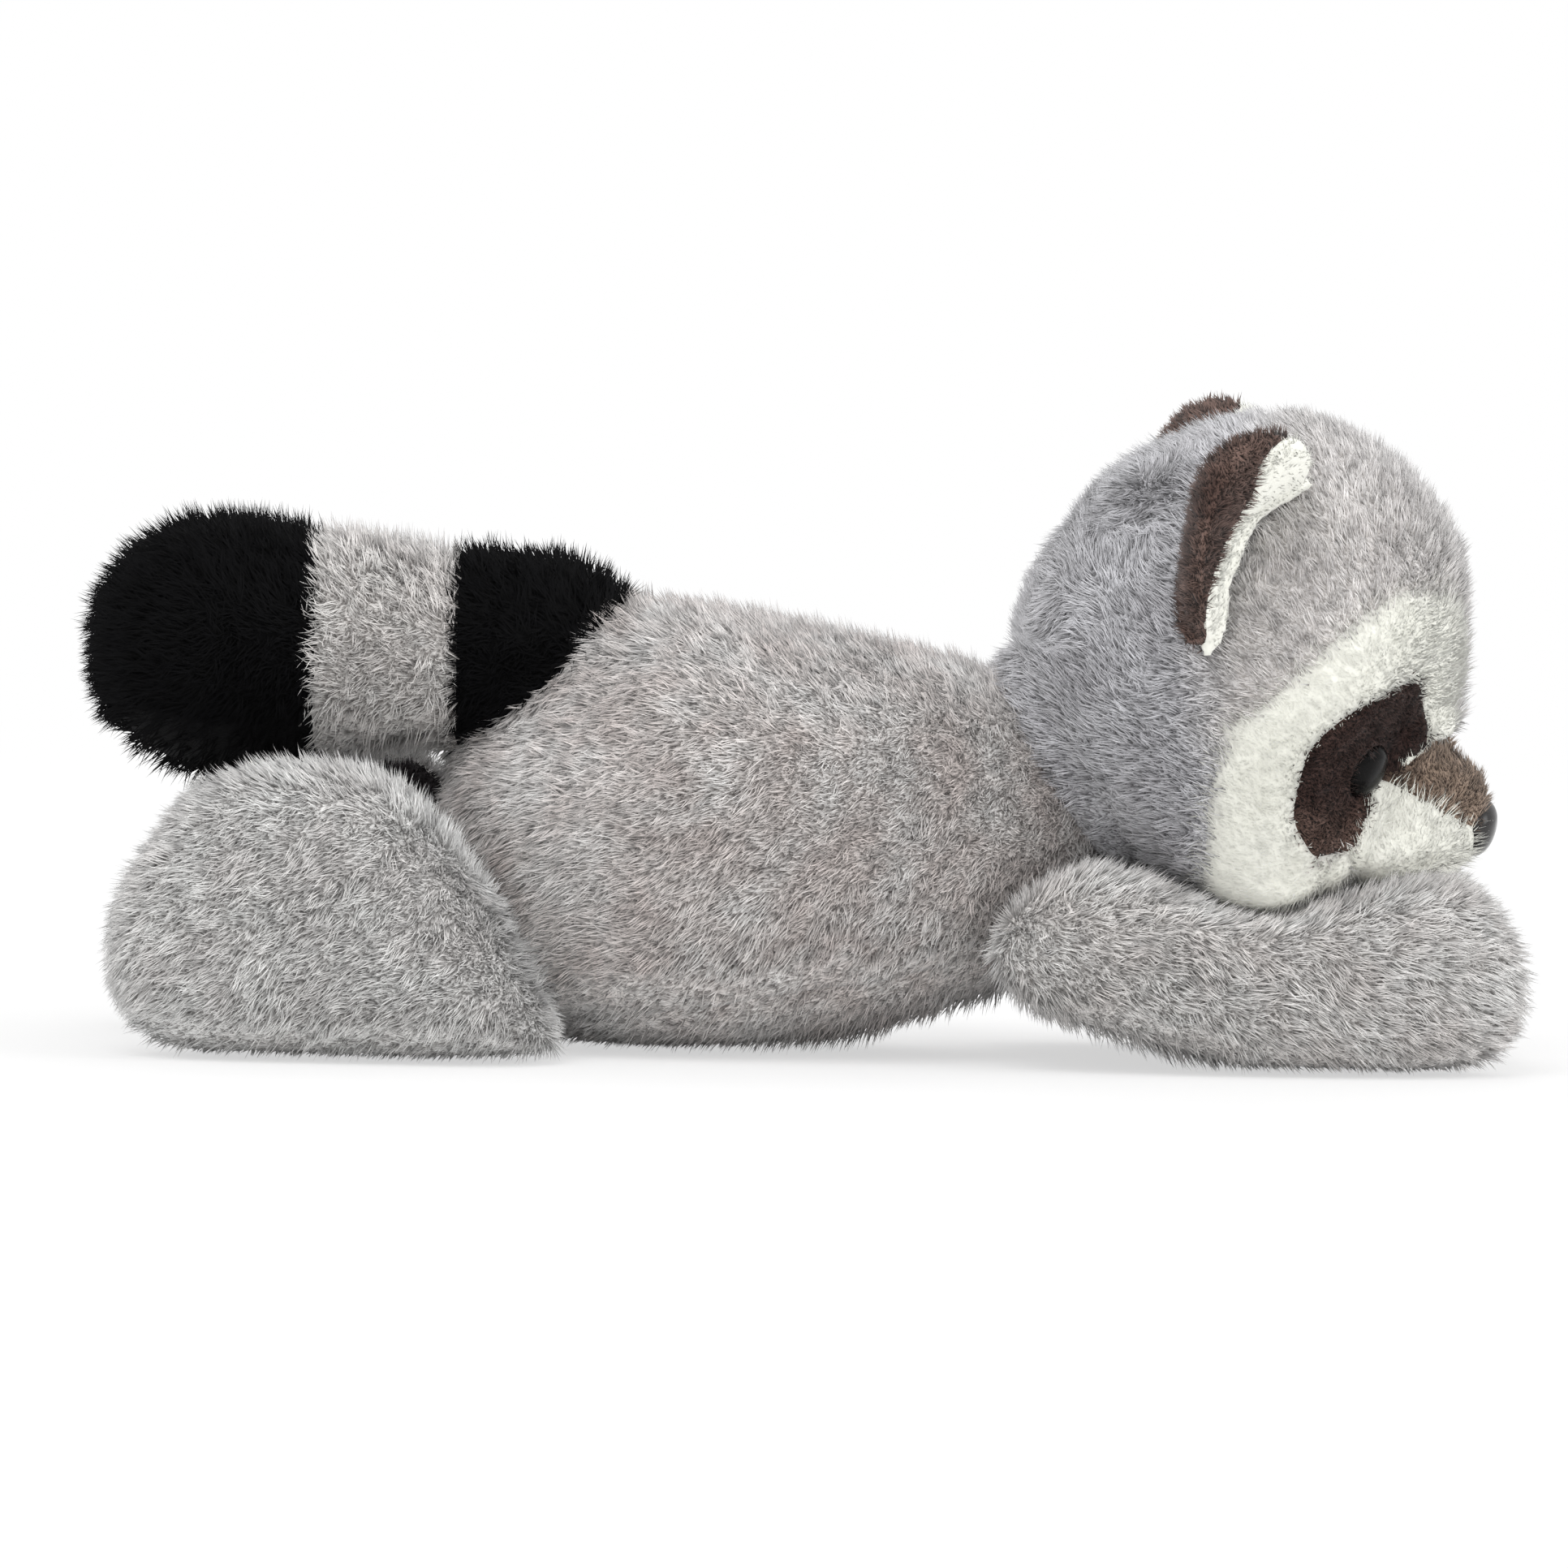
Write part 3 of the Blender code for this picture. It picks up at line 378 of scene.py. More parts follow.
def makePileTree():
    tree = bpy.data.node_groups.new("pile", "GeometryNodeTree")
    tree.interface.new_socket("Geometry", in_out="INPUT", socket_type="NodeSocketGeometry")
    for name, kind in treeInputs.items():
        tree.interface.new_socket(name, in_out="INPUT", socket_type=kind)
    tree.interface.new_socket("Geometry", in_out="OUTPUT", socket_type="NodeSocketGeometry")
    given = addNode(tree, "NodeGroupInput").outputs

    def attribute(name, kind):
        made = addNode(tree, "GeometryNodeInputNamedAttribute", data_type=kind)
        return feed(tree, made, Name=name).outputs["Attribute"]

    def vector(operation, a, b=None):
        return vectorMath(tree, operation, a, b)

    def chance(low, high, step):
        # the step keeps one draw apart from the next
        made = addNode(tree, "FunctionNodeRandomValue", data_type="FLOAT")
        seed = math2(tree, "ADD", given["Seed"], float(step))
        return feed(tree, made, i2=low, i3=high, Seed=seed).outputs[1]

    dots = addNode(tree, "GeometryNodeDistributePointsOnFaces")
    density = math2(tree, "MULTIPLY", given["Density"], attribute("cover", "FLOAT"))
    feed(tree, dots, Mesh=given["Geometry"], Density=density, Seed=given["Seed"])
    outward = attribute("outward", "FLOAT_VECTOR")
    place = addNode(tree, "GeometryNodeInputPosition").outputs[0]
    cells = addNode(tree, "ShaderNodeTexVoronoi", voronoi_dimensions="3D", feature="F1")
    feed(tree, cells, Vector=place, Scale=math2(tree, "DIVIDE", 1.0, given["Tuft Size"]))
    tuft = addNode(tree, "FunctionNodeSeparateColor")
    feed(tree, tuft, Color=cells.outputs["Color"])
    inwards = vector("SUBTRACT", cells.outputs["Position"], place)
    rise = vector("DOT_PRODUCT", inwards, outward)
    inwards = vector("SUBTRACT", inwards, vector("SCALE", outward, rise))

    stray = addNode(tree, "FunctionNodeRandomValue", data_type="FLOAT_VECTOR")
    feed(tree, stray, i0=(-1, -1, -1), i1=(1, 1, 1), Seed=math2(tree, "ADD", given["Seed"], 7.0))
    tuftTurn = vector("SUBTRACT", cells.outputs["Color"], (0.5, 0.5, 0.5))
    aim = vector("ADD", outward, vector("SCALE", attribute("nap", "FLOAT_VECTOR"), given["Lean"]))
    aim = vector("ADD", aim, vector("SCALE", stray.outputs[0], given["Stray"]))
    aim = vector("ADD", aim, vector("SCALE", tuftTurn, given["Tuft Turn"]))
    length = math2(tree, "MULTIPLY", given["Length"], attribute("stand", "FLOAT"))
    length = math2(tree, "MULTIPLY", length, chance(*fibreSet["length"], 1))
    least, more = fibreSet["tuftLength"]
    tuftLength = math2(tree, "ADD", math2(tree, "MULTIPLY", tuft.outputs[0], more), least)
    length = math2(tree, "MULTIPLY", length, tuftLength)
    reach = vector("SCALE", vector("NORMALIZE", aim), length)
    reach = vector("ADD", reach, vector("SCALE", inwards, given["Tuft Pull"]))

    fibre = addNode(tree, "GeometryNodeMeshCone", fill_type="NGON")
    feed(tree, fibre, Vertices=3, Radius_Top=0.0, Radius_Bottom=1.0, Depth=1.0)
    upward = fed(tree, "ShaderNodeSeparateXYZ", i0=place).outputs[2]
    fibreMesh = addNode(tree, "GeometryNodeStoreNamedAttribute", data_type="FLOAT", domain="POINT")
    feed(tree, fibreMesh, Geometry=fibre.outputs["Mesh"], Name="tip", Value=upward)

    roll = addNode(tree, "FunctionNodeAxisAngleToRotation")
    feed(tree, roll, Axis=(0, 0, 1), Angle=chance(0.0, 2 * math.pi, 3))
    stand = feed(tree, addNode(tree, "FunctionNodeAlignRotationToVector", axis="Z"), Vector=reach)
    turned = addNode(tree, "FunctionNodeRotateRotation", rotation_space="LOCAL")
    feed(tree, turned, Rotation=stand.outputs[0], Rotate_By=roll.outputs[0])
    size = addNode(tree, "ShaderNodeCombineXYZ")
    width = math2(tree, "MULTIPLY", given["Width"], chance(*fibreSet["width"], 4))
    feed(tree, size, i0=width, i1=width, i2=vector("LENGTH", reach))

    stored = (  # on the points, so that each copy takes its own
        ("tuft", "FLOAT", tuft.outputs[1]),
        ("fibre", "FLOAT", chance(0.0, 1.0, 5)),
        # painted shade in the creases
        ("deep", "FLOAT", attribute("deep", "FLOAT")),
        # the second tone, with the painted light on the torso and the head
        ("warm", "FLOAT", attribute("warm", "FLOAT")),
        ("blend", "FLOAT", attribute("blend", "FLOAT")),
        ("rootNormal", "FLOAT_VECTOR", outward),
    )
    points = dots.outputs["Points"]
    for name, kind, value in stored:
        keep = addNode(tree, "GeometryNodeStoreNamedAttribute", data_type=kind, domain="POINT")
        feed(tree, keep, Geometry=points, Name=name, Value=value)
        points = keep.outputs[0]
    copies = fed(tree, "GeometryNodeInstanceOnPoints", Points=points, Instance=fibreMesh.outputs[0])
    feed(tree, copies, Rotation=turned.outputs[0], Scale=size.outputs[0])
    real = fed(tree, "GeometryNodeRealizeInstances", Geometry=copies.outputs[0])
    finish = fed(tree, "GeometryNodeSetMaterial", Geometry=real.outputs[0], Material=given["Pile"])
    fed(tree, "NodeGroupOutput", i0=finish.outputs[0])
    return tree


pileTree = makePileTree()
pileIds = {s.name: s.identifier for s in pileTree.interface.items_tree if s.in_out == "INPUT"}

# Skins: one smooth form for each stuffed part, divided among its nodes

buttonSet = {
    "stem": 11.0,  # mm, from a stem's inner end to the button's back
    "pairs": {"eye_right": "eye_washer_right", "eye_left": "eye_washer_left", "nose": "nose_washer"},
    "plug": 0.8,   # mm that a plug stands over the seat
}


def vectorsOf(items, key):
    flat = np.empty(len(items) * 3, np.float32)
    items.foreach_get(key, flat)
    return flat.reshape(-1, 3)


def unit(vectors, least):
    return vectors / (np.linalg.norm(vectors, axis=1)[:, None] + least)


def pointsOf(mesh):
    return vectorsOf(mesh.vertices, "co").astype(float)


def buttonAxis(name):
    # the middle of a button's seat, and the axis that the button and its washer share
    button = pointsOf(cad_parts[name].data)
    washer = pointsOf(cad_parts[buttonSet["pairs"][name]].data)
    middle = button.mean(0)
    axis = middle - washer.mean(0)
    axis /= np.linalg.norm(axis)
    seat = ((button - middle) @ axis).min() + buttonSet["stem"] * mm
    return middle + axis * seat, axis


def treeOf(nodeNames):
    points, faces = [], []
    for name in nodeNames:
        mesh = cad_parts[name].data
        start = len(points)
        points += [v.co.copy() for v in mesh.vertices]
        faces += [tuple(start + i for i in p.vertices) for p in mesh.polygons]
    return BVHTree.FromPolygons(points, faces)


def distances(tree, points):
    return np.array([tree.find_nearest(p)[3] for p in points])


def away(point):
    # a nap that runs away from a point, such as the nose
    middle = np.array(point)
    return lambda places: places - middle


def along(*direction):
    return lambda places: np.tile(np.array(direction, float), (len(places), 1))


noseBase = buttonAxis("nose")[0]
earSet = {  # by height in the ear, from 0 to 1
    # how wide it is, against its solid
    "keep": ((0, 1.3), (0.1, 1.05), (0.3, 0.65), (0.6, 0.53), (0.85, 0.82), (1, 0.95)),
    # mm forwards
    "shift": ((0, 1), (0.3, 5), (0.6, 8.5), (0.85, 9), (1, 10)),
    # the dark back's share of the width
    "band": ((0, 0.50), (0.15, 0.58), (0.6, 0.62), (0.85, 0.47), (1, 0.66)),
    "levels": 13,
    "window": 0.08,
}
earSkin = {"voxel": 1.3, "smooth": 8}
# each form's crease setting is the share of painted shade in its creases
armSkin = {
    "voxel": 2.2, "smooth": 16, "nap": along(1, 0, -0.35), "creaseShadeShare": 0.15,
    "pushes": (((90, 33, 36), (16, 16, 9), (0, 0, -1.0)), ((44, 45, 22), (12, 25, 20), (-4.5, 0, 0))),
}
legSkin = {"voxel": 2.2, "smooth": 16, "nap": along(-1, 0, -0.6), "creaseShadeShare": 0.7}
skinSet = {  # places and lengths in mm; a push has its place, reach and way, and acts on both sides
    "torso": {
        "nodes": ("body", "belly_panel"),
        "voxel": 2.4, "smooth": 24, "nap": along(-1, 0, -0.45), "creaseShadeShare": 0.6,
        # painted light: the torso's pile paler on the rump and on the back
        "warm": lambda x, z: np.maximum(np.clip((-25 - x) / 25, 0, 1), np.clip((z - 68) / 14, 0, 1)),
    },
    "cranium": {
        "nodes": (
            "head", "forehead_panel", "mask_panel_right", "mask_panel_left",
            "eye_patch_right", "eye_patch_left",
        ),
        "plugs": ("eye_right", "eye_left"),
        "voxel": 2.0, "smooth": 14, "nap": away(noseBase), "beside": ("earRight", "earLeft"),
        "press": 3.2, "crevice": 5.5, "jowl": 5.0,
        "forehead": ("head", "forehead_panel"),
        "patches": ("eye_patch_right", "eye_patch_left"),
        "warm": lambda x, z: np.clip((57 - z) / 8, 0, 1),  # on the patches only
        "pushes": (  # the cheeks hang over the arms, and there is a notch over the muzzle
            ((90, 33, 45), (18, 14, 11), (0, 2, -9)),
            ((106, 24, 43), (15, 13, 10), (0, 7.5, -4)),
            ((138, 0, 67), (8, 13, 4.5), (-3.5, 0, 0)),
        ),
        "shifts": {"eye_patch": lambda x, z: 5.0 * np.clip((53 - z) / 5, 0, 1)},
    },
    "snout": {
        "nodes": ("muzzle_top", "muzzle_lower"),
        "plugs": ("nose",),
        "voxel": 1.6, "smooth": 10, "nap": along(-0.4, 0, 0.9),
        "press": 2.2, "crevice": 4.5, "jowl": 3.5,
        "warm": lambda x, z: np.clip((127 - x) / 9, 0, 1),
        "pushes": (
            ((114, 19, 44), (15, 12, 10), (0, 7, -2)),
            ((131, 8, 70), (12, 13, 6), (-3, -1, -3)),
            ((139, 0, 66), (8, 14, 6), (-2.2, 0, -1)),
        ),
        "shifts": {  # the white between the forehead and the muzzle comes down to a slanting line
            "muzzle_top": lambda x, z: (
                8 * np.clip(z - 63.5 - 0.53 * (x - 125), 0, 2) * np.clip((x - 119) / 2, 0, 1)
            ),
        },
    },
    "earRight": {
        "nodes": ("ear_back_right", "ear_lining_right"), "nap": along(-0.3, -0.6, 1), **earSkin,
        "lift": (0, 0),
    },
    "earLeft": {
        "nodes": ("ear_back_left", "ear_lining_left"), "nap": along(-0.3, 0.6, 1), **earSkin,
        "lift": (-5, 5),  # forwards and up at its tip: this ear stands higher than the other
    },
    "armRight": {"nodes": ("arm_right",), **armSkin},
    "armLeft": {"nodes": ("arm_left",), **armSkin},
    "legRight": {"nodes": ("leg_right", "sole_right"), **legSkin},
    "legLeft": {"nodes": ("leg_left", "sole_left"), "taller": 1.06, **legSkin},
    "tail": {
        "nodes": ("tail_tip", "tail_band", "tail_root"),
        "voxel": 2.2, "smooth": 14, "nap": along(-1, 0, -0.1),
        "pushes": (((-80, 0, 54), (15, 40, 9), (0, 0, 3)),),
    },
}
# mm: the pile's length, the depth of the skin under it and a fibre's half width
greyCloth = {"slot": "grey_plush", "length": 4.6, "depth": 1.7, "width": 0.21}
whiteCloth = {"slot": "white_plush", "pile": "creamPile", "depth": 0.8, "width": 0.13}
brownCloth = {"slot": "brown_plush", "length": 2.4, "depth": 1.0}
soleCloth = {
    "slot": "charcoal_plush", "pile": "solePile", "length": 1.8, "depth": 0.6, "width": 0.20, "lean": 1.0,
}
blackCloth = {"slot": "black_plush", "pile": "blackPile", "width": 0.26}
headCloth = {"slot": "grey_plush", "pile": "headPile", "mix": 2.8}
plushSet = {  # by node, or by a pair's name without its side
    "body": {**greyCloth, "pile": "bodyPile", "lean": 1.05, "thick": 0.86},
    "belly_panel": {**greyCloth, "pile": "bodyPile", "lean": 1.05},
    "head": {**headCloth, "length": 4.2, "depth": 1.5, "width": 0.20, "lean": 1.2},
    "forehead_panel": {**headCloth, "length": 3.6, "depth": 1.4, "width": 0.18, "lean": 1.1},
    "mask_panel": {**whiteCloth, "length": 3.0, "lean": 1.0, "thick": 1.1, "mix": 2.8, "turn": 0.5},
    "eye_patch": {**brownCloth, "pile": "patchPile", "width": 0.18, "lean": 0.9, "mix": 1.3},
    "muzzle_top": {
        "slot": "muzzle_plush", "pile": "muzzlePile",
        "length": 2.4, "depth": 0.4, "width": 0.17, "lean": 1.1, "gain": 1.6, "mix": 1.6,
    },
    "muzzle_lower": {
        **whiteCloth, "length": 3.6, "depth": 0.6, "width": 0.14, "lean": 0.9,
        "thick": 0.9, "mix": 1.6, "turn": 0.6,
    },
    "ear_back": {**brownCloth, "pile": "earPile", "width": 0.20, "lean": 0.6},
    "ear_lining": {**whiteCloth, "length": 1.8, "lean": 1.2, "thick": 0.8},
    "arm": {**greyCloth, "pile": "armPile", "length": 5.0, "depth": 1.8, "lean": 0.95},
    "leg": {**greyCloth, "pile": "legPile", "lean": 0.95},
    "sole": {**soleCloth, "gain": 5.0},
    "sole_left": {**soleCloth, "gain": 17.0},
    "tail_tip": {**blackCloth, "length": 5.8, "depth": 3.0, "lean": 0.6},
    "tail_band": {
        "slot": "grey_plush", "pile": "bandPile", "length": 5.2, "depth": 2.7, "width": 0.22, "lean": 0.55,
    },
    "tail_root": {**blackCloth, "length": 5.4, "depth": 2.8, "lean": 0.55},
}
furSet = {
    "perSquareMm": 2.20,
    "finer": 0.86,          # the fibres' width against what each node's own entry says
    "tuftSize": 2.5,
    "tuftPull": 0.30,
    "tuftTurn": 0.95,       # how far a tuft turns from the nap
    "stray": 0.30,
    "borderRounds": 6,
    "swirl": (0.6, 15.0),   # how far the nap wanders and over how many mm
    "swirlSeed": 3,
    "mixOver": 0.9,         # mm, how far the fibres of two panels mix on each side of their seam
    "mixAlike": 5.0,        # mm, the same where both panels are one cloth
    "blendOver": 1.7,       # mm, how far grey and white take each other's tone
    "seamRounds": 3,        # how far the corners of a seam's line are rounded
    "borderPull": 0.5,
    "wobble": (0.6, 7.0),   # mm, how far a seam's line strays and over what length
    "warmOver": 9.0,        # mm, how far the painted light on the grey of the head takes to change
    "farSide": 0.46,        # how thick the pile is there, against the side that the camera sees
    "underside": 0.25,
    "turnAway": 0.5,        # how far skin turns to the far side before its pile is the thin one
    "downward": -0.55,      # skin whose outward way points lower than this has the underside's pile
    "leastCover": 0.01,
    "valley": (0.9, 2.2),   # mm, how deep and how wide a seam draws the skin in
    "valleyShare": 0.6,     # the most that a seam draws in, against the depth of the skin there
    "depthOver": 2.5,       # mm, how soon one panel's depth passes into the next one's
    "noSeam": 99.0,         # mm, the way to a seam in a form that has none
    "lumps": (0.7, 22.0),   # mm, how high and how far apart the filling's lumps are
    "touch": 0.5,           # mm, nearer to a neighbour than this there is no pile
    "drawnOut": 1.5,        # mm, skin that is moved further than this by a push has its pile again
    "creaseShadeWidth": 2.6,     # mm, how wide the painted shade in a crease is
    "crevice": 3.5,         # mm, nearer to a neighbour than this the pile is shorter
    "creviceLength": 0.85,  # how long it still is there
    "floorFade": 3.0,       # mm, lower than this the pile is shorter
    "floorLength": 0.30,
    "skinFloor": 0.5,       # mm, the skin keeps over the floor
    "buttonEdge": 3.0,      # mm, nearer to an eye or the nose than this the skin is drawn up to it
    "jowlTop": 50.0,        # mm over the floor, where cheeks and chin start to bulge
    "jowlHeight": 14.0,
    "jowlMiddle": 12.0,     # mm from the middle, where they bulge in full
    "pushMiddle": 5.0,      # mm, the same for the sideways part of a push
    "normalRounds": 2,
    "press": 1.3,           # mm, how far a part is pressed into the neighbour that it touches
    "floor": 0.25,          # mm, the pile that is pressed on the floor keeps over it
    "shell": 1.2,           # mm, the skin's own thickness
    "fill": 0.75,
    "normalShare": 0.90,    # how much a fibre takes its shading from the skin under it
    "seedStep": 100,
}
noise.seed_set(furSet["swirlSeed"])  # or else the swirl would follow the clock


def plushOf(node):
    return plushSet.get(node) or plushSet[node.rsplit("_", 1)[0]]


def evaluated(obj):
    graph = bpy.context.evaluated_depsgraph_get()
    mesh = bpy.data.meshes.new_from_object(obj.evaluated_get(graph))
    bpy.data.objects.remove(obj)
    return mesh


def smoothForm(name, setting):
    work = bmesh.new()
    for nodeName in setting["nodes"]:
        work.from_mesh(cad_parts[nodeName].data)
    for button in setting.get("plugs", ()):
        seat, axis = buttonAxis(button)
        for part in (button, buttonSet["pairs"][button]):
            start = len(work.verts)
            work.from_mesh(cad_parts[part].data)
            work.verts.ensure_lookup_table()
            for vertex in work.verts[start:]:
                over = (np.array(vertex.co) - seat) @ axis - buttonSet["plug"] * mm
                if over > 0:
                    vertex.co -= Vector(axis) * over
    bmesh.ops.remove_doubles(work, verts=work.verts, dist=0.002 * mm)
    mesh = bpy.data.meshes.new(name)
    work.to_mesh(mesh)
    work.free()
    obj = placed(name, mesh)
    remesh = obj.modifiers.new("remesh", "REMESH")
    remesh.mode = "VOXEL"
    remesh.voxel_size = setting["voxel"] * mm
    smooth = obj.modifiers.new("smooth", "SMOOTH")
    smooth.factor = 0.5
    smooth.iterations = setting["smooth"]
    return evaluated(obj)


def finer(mesh):
    obj = placed("finer", mesh.copy())
    split = obj.modifiers.new("split", "SUBSURF")
    split.levels = split.render_levels = 1
    return evaluated(obj)


def earProfile(points):
    # each point's height in its ear, from 0 to 1, and the ear's rear and front edges at that height
    low, high = points[:, 2].min(), points[:, 2].max()
    height = (points[:, 2] - low) / (high - low)
    levels = np.linspace(0, 1, earSet["levels"])
    bands = [points[np.abs(height - level) < earSet["window"], 0] for level in levels]
    rear = [band.min() for band in bands]
    front = [band.max() for band in bands]
    return height, np.interp(height, levels, rear), np.interp(height, levels, front)


def foldedEar(points, lift):
    # the ear is folded: narrow low down, with its top bent forward
    height, rear, _ = earProfile(points)
    made = points.copy()
    made[:, 0] = rear + (points[:, 0] - rear) * np.interp(height, *zip(*earSet["keep"]))
    made[:, 0] += (np.interp(height, *zip(*earSet["shift"])) + lift[0] * height) * mm
    made[:, 2] += lift[1] * mm * height
    return made


def pushed(points, skin, pushes):
    # each push moves the skin about one place, outwards on both sides of the raccoon
    local = points / mm
    out = np.ones_like(points)
    out[:, 1] = np.clip(local[:, 1] / furSet["pushMiddle"], -1, 1)
    local[:, 1] = np.abs(local[:, 1])
    for place, reach, way in pushes:
        share = np.exp(-(((local - place) / reach) ** 2).sum(1))
        skin = skin + share[:, None] * np.array(way) * out * mm
    return skin


def evened(values, faces, rounds):
    # each vertex takes the mean of the faces round it, a number of times
    count = np.bincount(faces.ravel(), minlength=len(values))[:, None]
    for _ in range(rounds):
        middle = values[faces].mean(1)
        total = np.zeros_like(values)
        for corner in range(faces.shape[1]):
            np.add.at(total, faces[:, corner], middle)
        values = total / count
    return values


def normalsOf(points, faces, rounds):
    corners = points[faces]
    way = np.cross(corners[:, 2] - corners[:, 0], corners[:, 3] - corners[:, 1])
    total = np.zeros_like(points)
    for corner in range(4):
        np.add.at(total, faces[:, corner], way)
    return unit(evened(total, faces, rounds), 1e-12)


def toneAndLightShare(setting, points, own):
    # how much of its second tone the cloth has, from 0 to 1: painted light on the torso and on the grey of
    # the head, and the cloth's own tone on the eye patches and the muzzle
    x, _, z = points.T / mm
    given = setting["warm"](x, z) if "warm" in setting else np.zeros(len(points))
    if "forehead" not in setting:
        return given
    nodes = setting["nodes"]
    back, front = (own[:, nodes.index(n)] for n in setting["forehead"])
    grey = np.clip(0.5 + (back - front) / (2 * furSet["warmOver"]), 0, 1)
    patches = [nodes.index(n) for n in setting["patches"]]
    onPatch = np.isin(own[:, : len(nodes)].argmin(1), patches)
    return np.where(onPatch, given, grey)


def insetOf(setting, own, free, lump):
    # how many mm the skin lies inside its solid, under the pile
    panels = len(setting["nodes"])
    near = own[:, :panels]
    toSeam = np.sort(near, axis=1)[:, 1] if panels > 1 else np.full(len(own), furSet["noSeam"])
    weight = np.exp(-((near / furSet["depthOver"]) ** 2)) + 1e-9
    depths = np.array([plushOf(n)["depth"] for n in setting["nodes"]])
    under = (weight * depths).sum(1) / weight.sum(1)
    depth, width = furSet["valley"]
    depth = np.minimum(depth, furSet["valleyShare"] * under)
    inset = under + depth * np.exp(-((toSeam / width) ** 2)) - lump
    inset = inset * free - setting.get("press", furSet["press"]) * (1 - free)
    if own.shape[1] > panels:
        inset = inset * np.clip(own[:, panels:].min(1) / furSet["buttonEdge"], 0, 1)
    return inset


def napOf(setting, points, outward):
    nap = unit(setting["nap"](points), 1e-6)
    much, over = furSet["swirl"]
    nap += much * np.array([noise.noise_vector(Vector(p / (over * mm))) for p in points])
    nap -= outward * (nap * outward).sum(1)[:, None]
    return unit(nap, 1e-6)


def skinFields(mesh, setting, ownTrees, otherTree):
    points = pointsOf(mesh)
    outward = vectorsOf(mesh.vertex_normals, "vector").astype(float)
    own = np.stack([distances(tree, points) for tree in ownTrees], 1) / mm
    other = distances(otherTree, points) / mm
    touch = furSet["touch"]
    free = np.clip((other - touch) / (setting.get("crevice", furSet["crevice"]) - touch), 0, 1)
    high, apart = furSet["lumps"]
    lump = high * np.array([noise.noise(Vector(p / (apart * mm))) for p in points])
    skin = points - outward * insetOf(setting, own, free, lump)[:, None] * mm
    skin[:, 2] = np.maximum(skin[:, 2], furSet["skinFloor"] * mm)
    skin[:, 2] *= setting.get("taller", 1.0)
    if "jowl" in setting:
        # cheeks and chin bulge over the arms that they lie on
        low = np.clip((furSet["jowlTop"] - points[:, 2] / mm) / furSet["jowlHeight"], 0, 1)
        sideways = np.clip(np.abs(points[:, 1]) / (furSet["jowlMiddle"] * mm), 0, 1)
        skin[:, 1] += setting["jowl"] * mm * low * sideways * np.sign(points[:, 1])
    before = skin
    skin = pushed(points, skin, setting.get("pushes", ()))
    drawnOut = np.linalg.norm(skin - before, axis=1) > furSet["drawnOut"] * mm
    if "lift" in setting:
        height, rear, front = earProfile(points)
        across = (points[:, 0] - rear) / (front - rear)
        backness = (across - np.interp(height, *zip(*earSet["band"]))) * (front - rear) / mm
        own = np.stack([backness, -backness], 1)
        skin = foldedEar(skin, setting["lift"])
    outward = normalsOf(skin, quadsOf(mesh), furSet["normalRounds"])
    onFloor = np.clip(points[:, 2] / (furSet["floorFade"] * mm), 0, 1)
    inCrevice, lowest = furSet["creviceLength"], furSet["floorLength"]
    side = np.clip(0.5 - outward[:, 1] / furSet["turnAway"], 0, 1)
    thickness = furSet["farSide"] + (1 - furSet["farSide"]) * side
    hidden = (outward[:, 2] < furSet["downward"]) & ~drawnOut
    thickness = np.minimum(thickness, np.where(hidden, furSet["underside"], 1))
    return {
        "points": points, "skin": skin, "outward": outward, "own": own,
        "nap": napOf(setting, points, outward),
        "warm": toneAndLightShare(setting, points, own),
        # painted shade near the neighbouring parts, in the creases
        "deep": np.exp(-((other / furSet["creaseShadeWidth"]) ** 2)) * setting.get("creaseShadeShare", 0.0),
        "stand": (inCrevice + (1 - inCrevice) * free) * (lowest + (1 - lowest) * onFloor),
        "cover": ((other > touch) | drawnOut) * thickness,
    }


def smoothBorders(fields):
    # the line between two panels is drawn smooth over the mesh's steps
    sides = {}
    for face, panel in zip(fields["faces"].tolist(), fields["panel"].tolist()):
        for k in range(4):
            edge = (min(face[k], face[(k + 1) % 4]), max(face[k], face[(k + 1) % 4]))
            sides.setdefault(edge, set()).add(panel)
    border = np.array([edge for edge, panels in sides.items() if len(panels) > 1])
    if not len(border):
        return
    skin = fields["skin"]
    for _ in range(furSet["borderRounds"]):
        total = np.zeros_like(skin)
        count = np.zeros(len(skin))
        for a, b in ((0, 1), (1, 0)):
            np.add.at(total, border[:, a], skin[border[:, b]])
            np.add.at(count, border[:, a], 1)
        on = count > 0
        skin[on] += furSet["borderPull"] * (total[on] / count[on, None] - skin[on])


def quadsOf(mesh):
    return np.array([tuple(p.vertices) for p in mesh.polygons])


def meshFrom(name, points, faces, attributes):
    used, index = np.unique(faces, return_inverse=True)
    mesh = bpy.data.meshes.new(name)
    mesh.from_pydata(points[used].tolist(), [], index.reshape(faces.shape).tolist())
    for key, values in attributes.items():
        kind, slot = ("FLOAT_VECTOR", "vector") if values.ndim == 2 else ("FLOAT", "value")
        data = mesh.attributes.new(key, kind, "POINT").data
        data.foreach_set(slot, values[used].astype(np.float32).ravel())
    mesh.shade_smooth()
    return mesh


def shellFrom(name, fields, faces):
    # the skin's own faces, and for an open panel a second layer inside, joined along the edge
    n = len(fields["skin"])
    inner = fields["skin"] - fields["outward"] * furSet["shell"] * mm
    points = np.concatenate([fields["skin"], inner])
    edges = np.concatenate([faces[:, [i, (i + 1) % 4]] for i in range(4)])
    pairs = {(a, b) for a, b in edges.tolist()}
    rim = [(b, a, a + n, b + n) for a, b in pairs if (b, a) not in pairs]
    layers = [faces]
    if rim:
        layers += [faces[:, ::-1] + n, np.array(sorted(rim))]
    kept = {key: np.concatenate([fields[key], fields[key]]) for key in ("nap", "deep", "warm", "blend")}
    return meshFrom(name, points, np.concatenate(layers), kept)


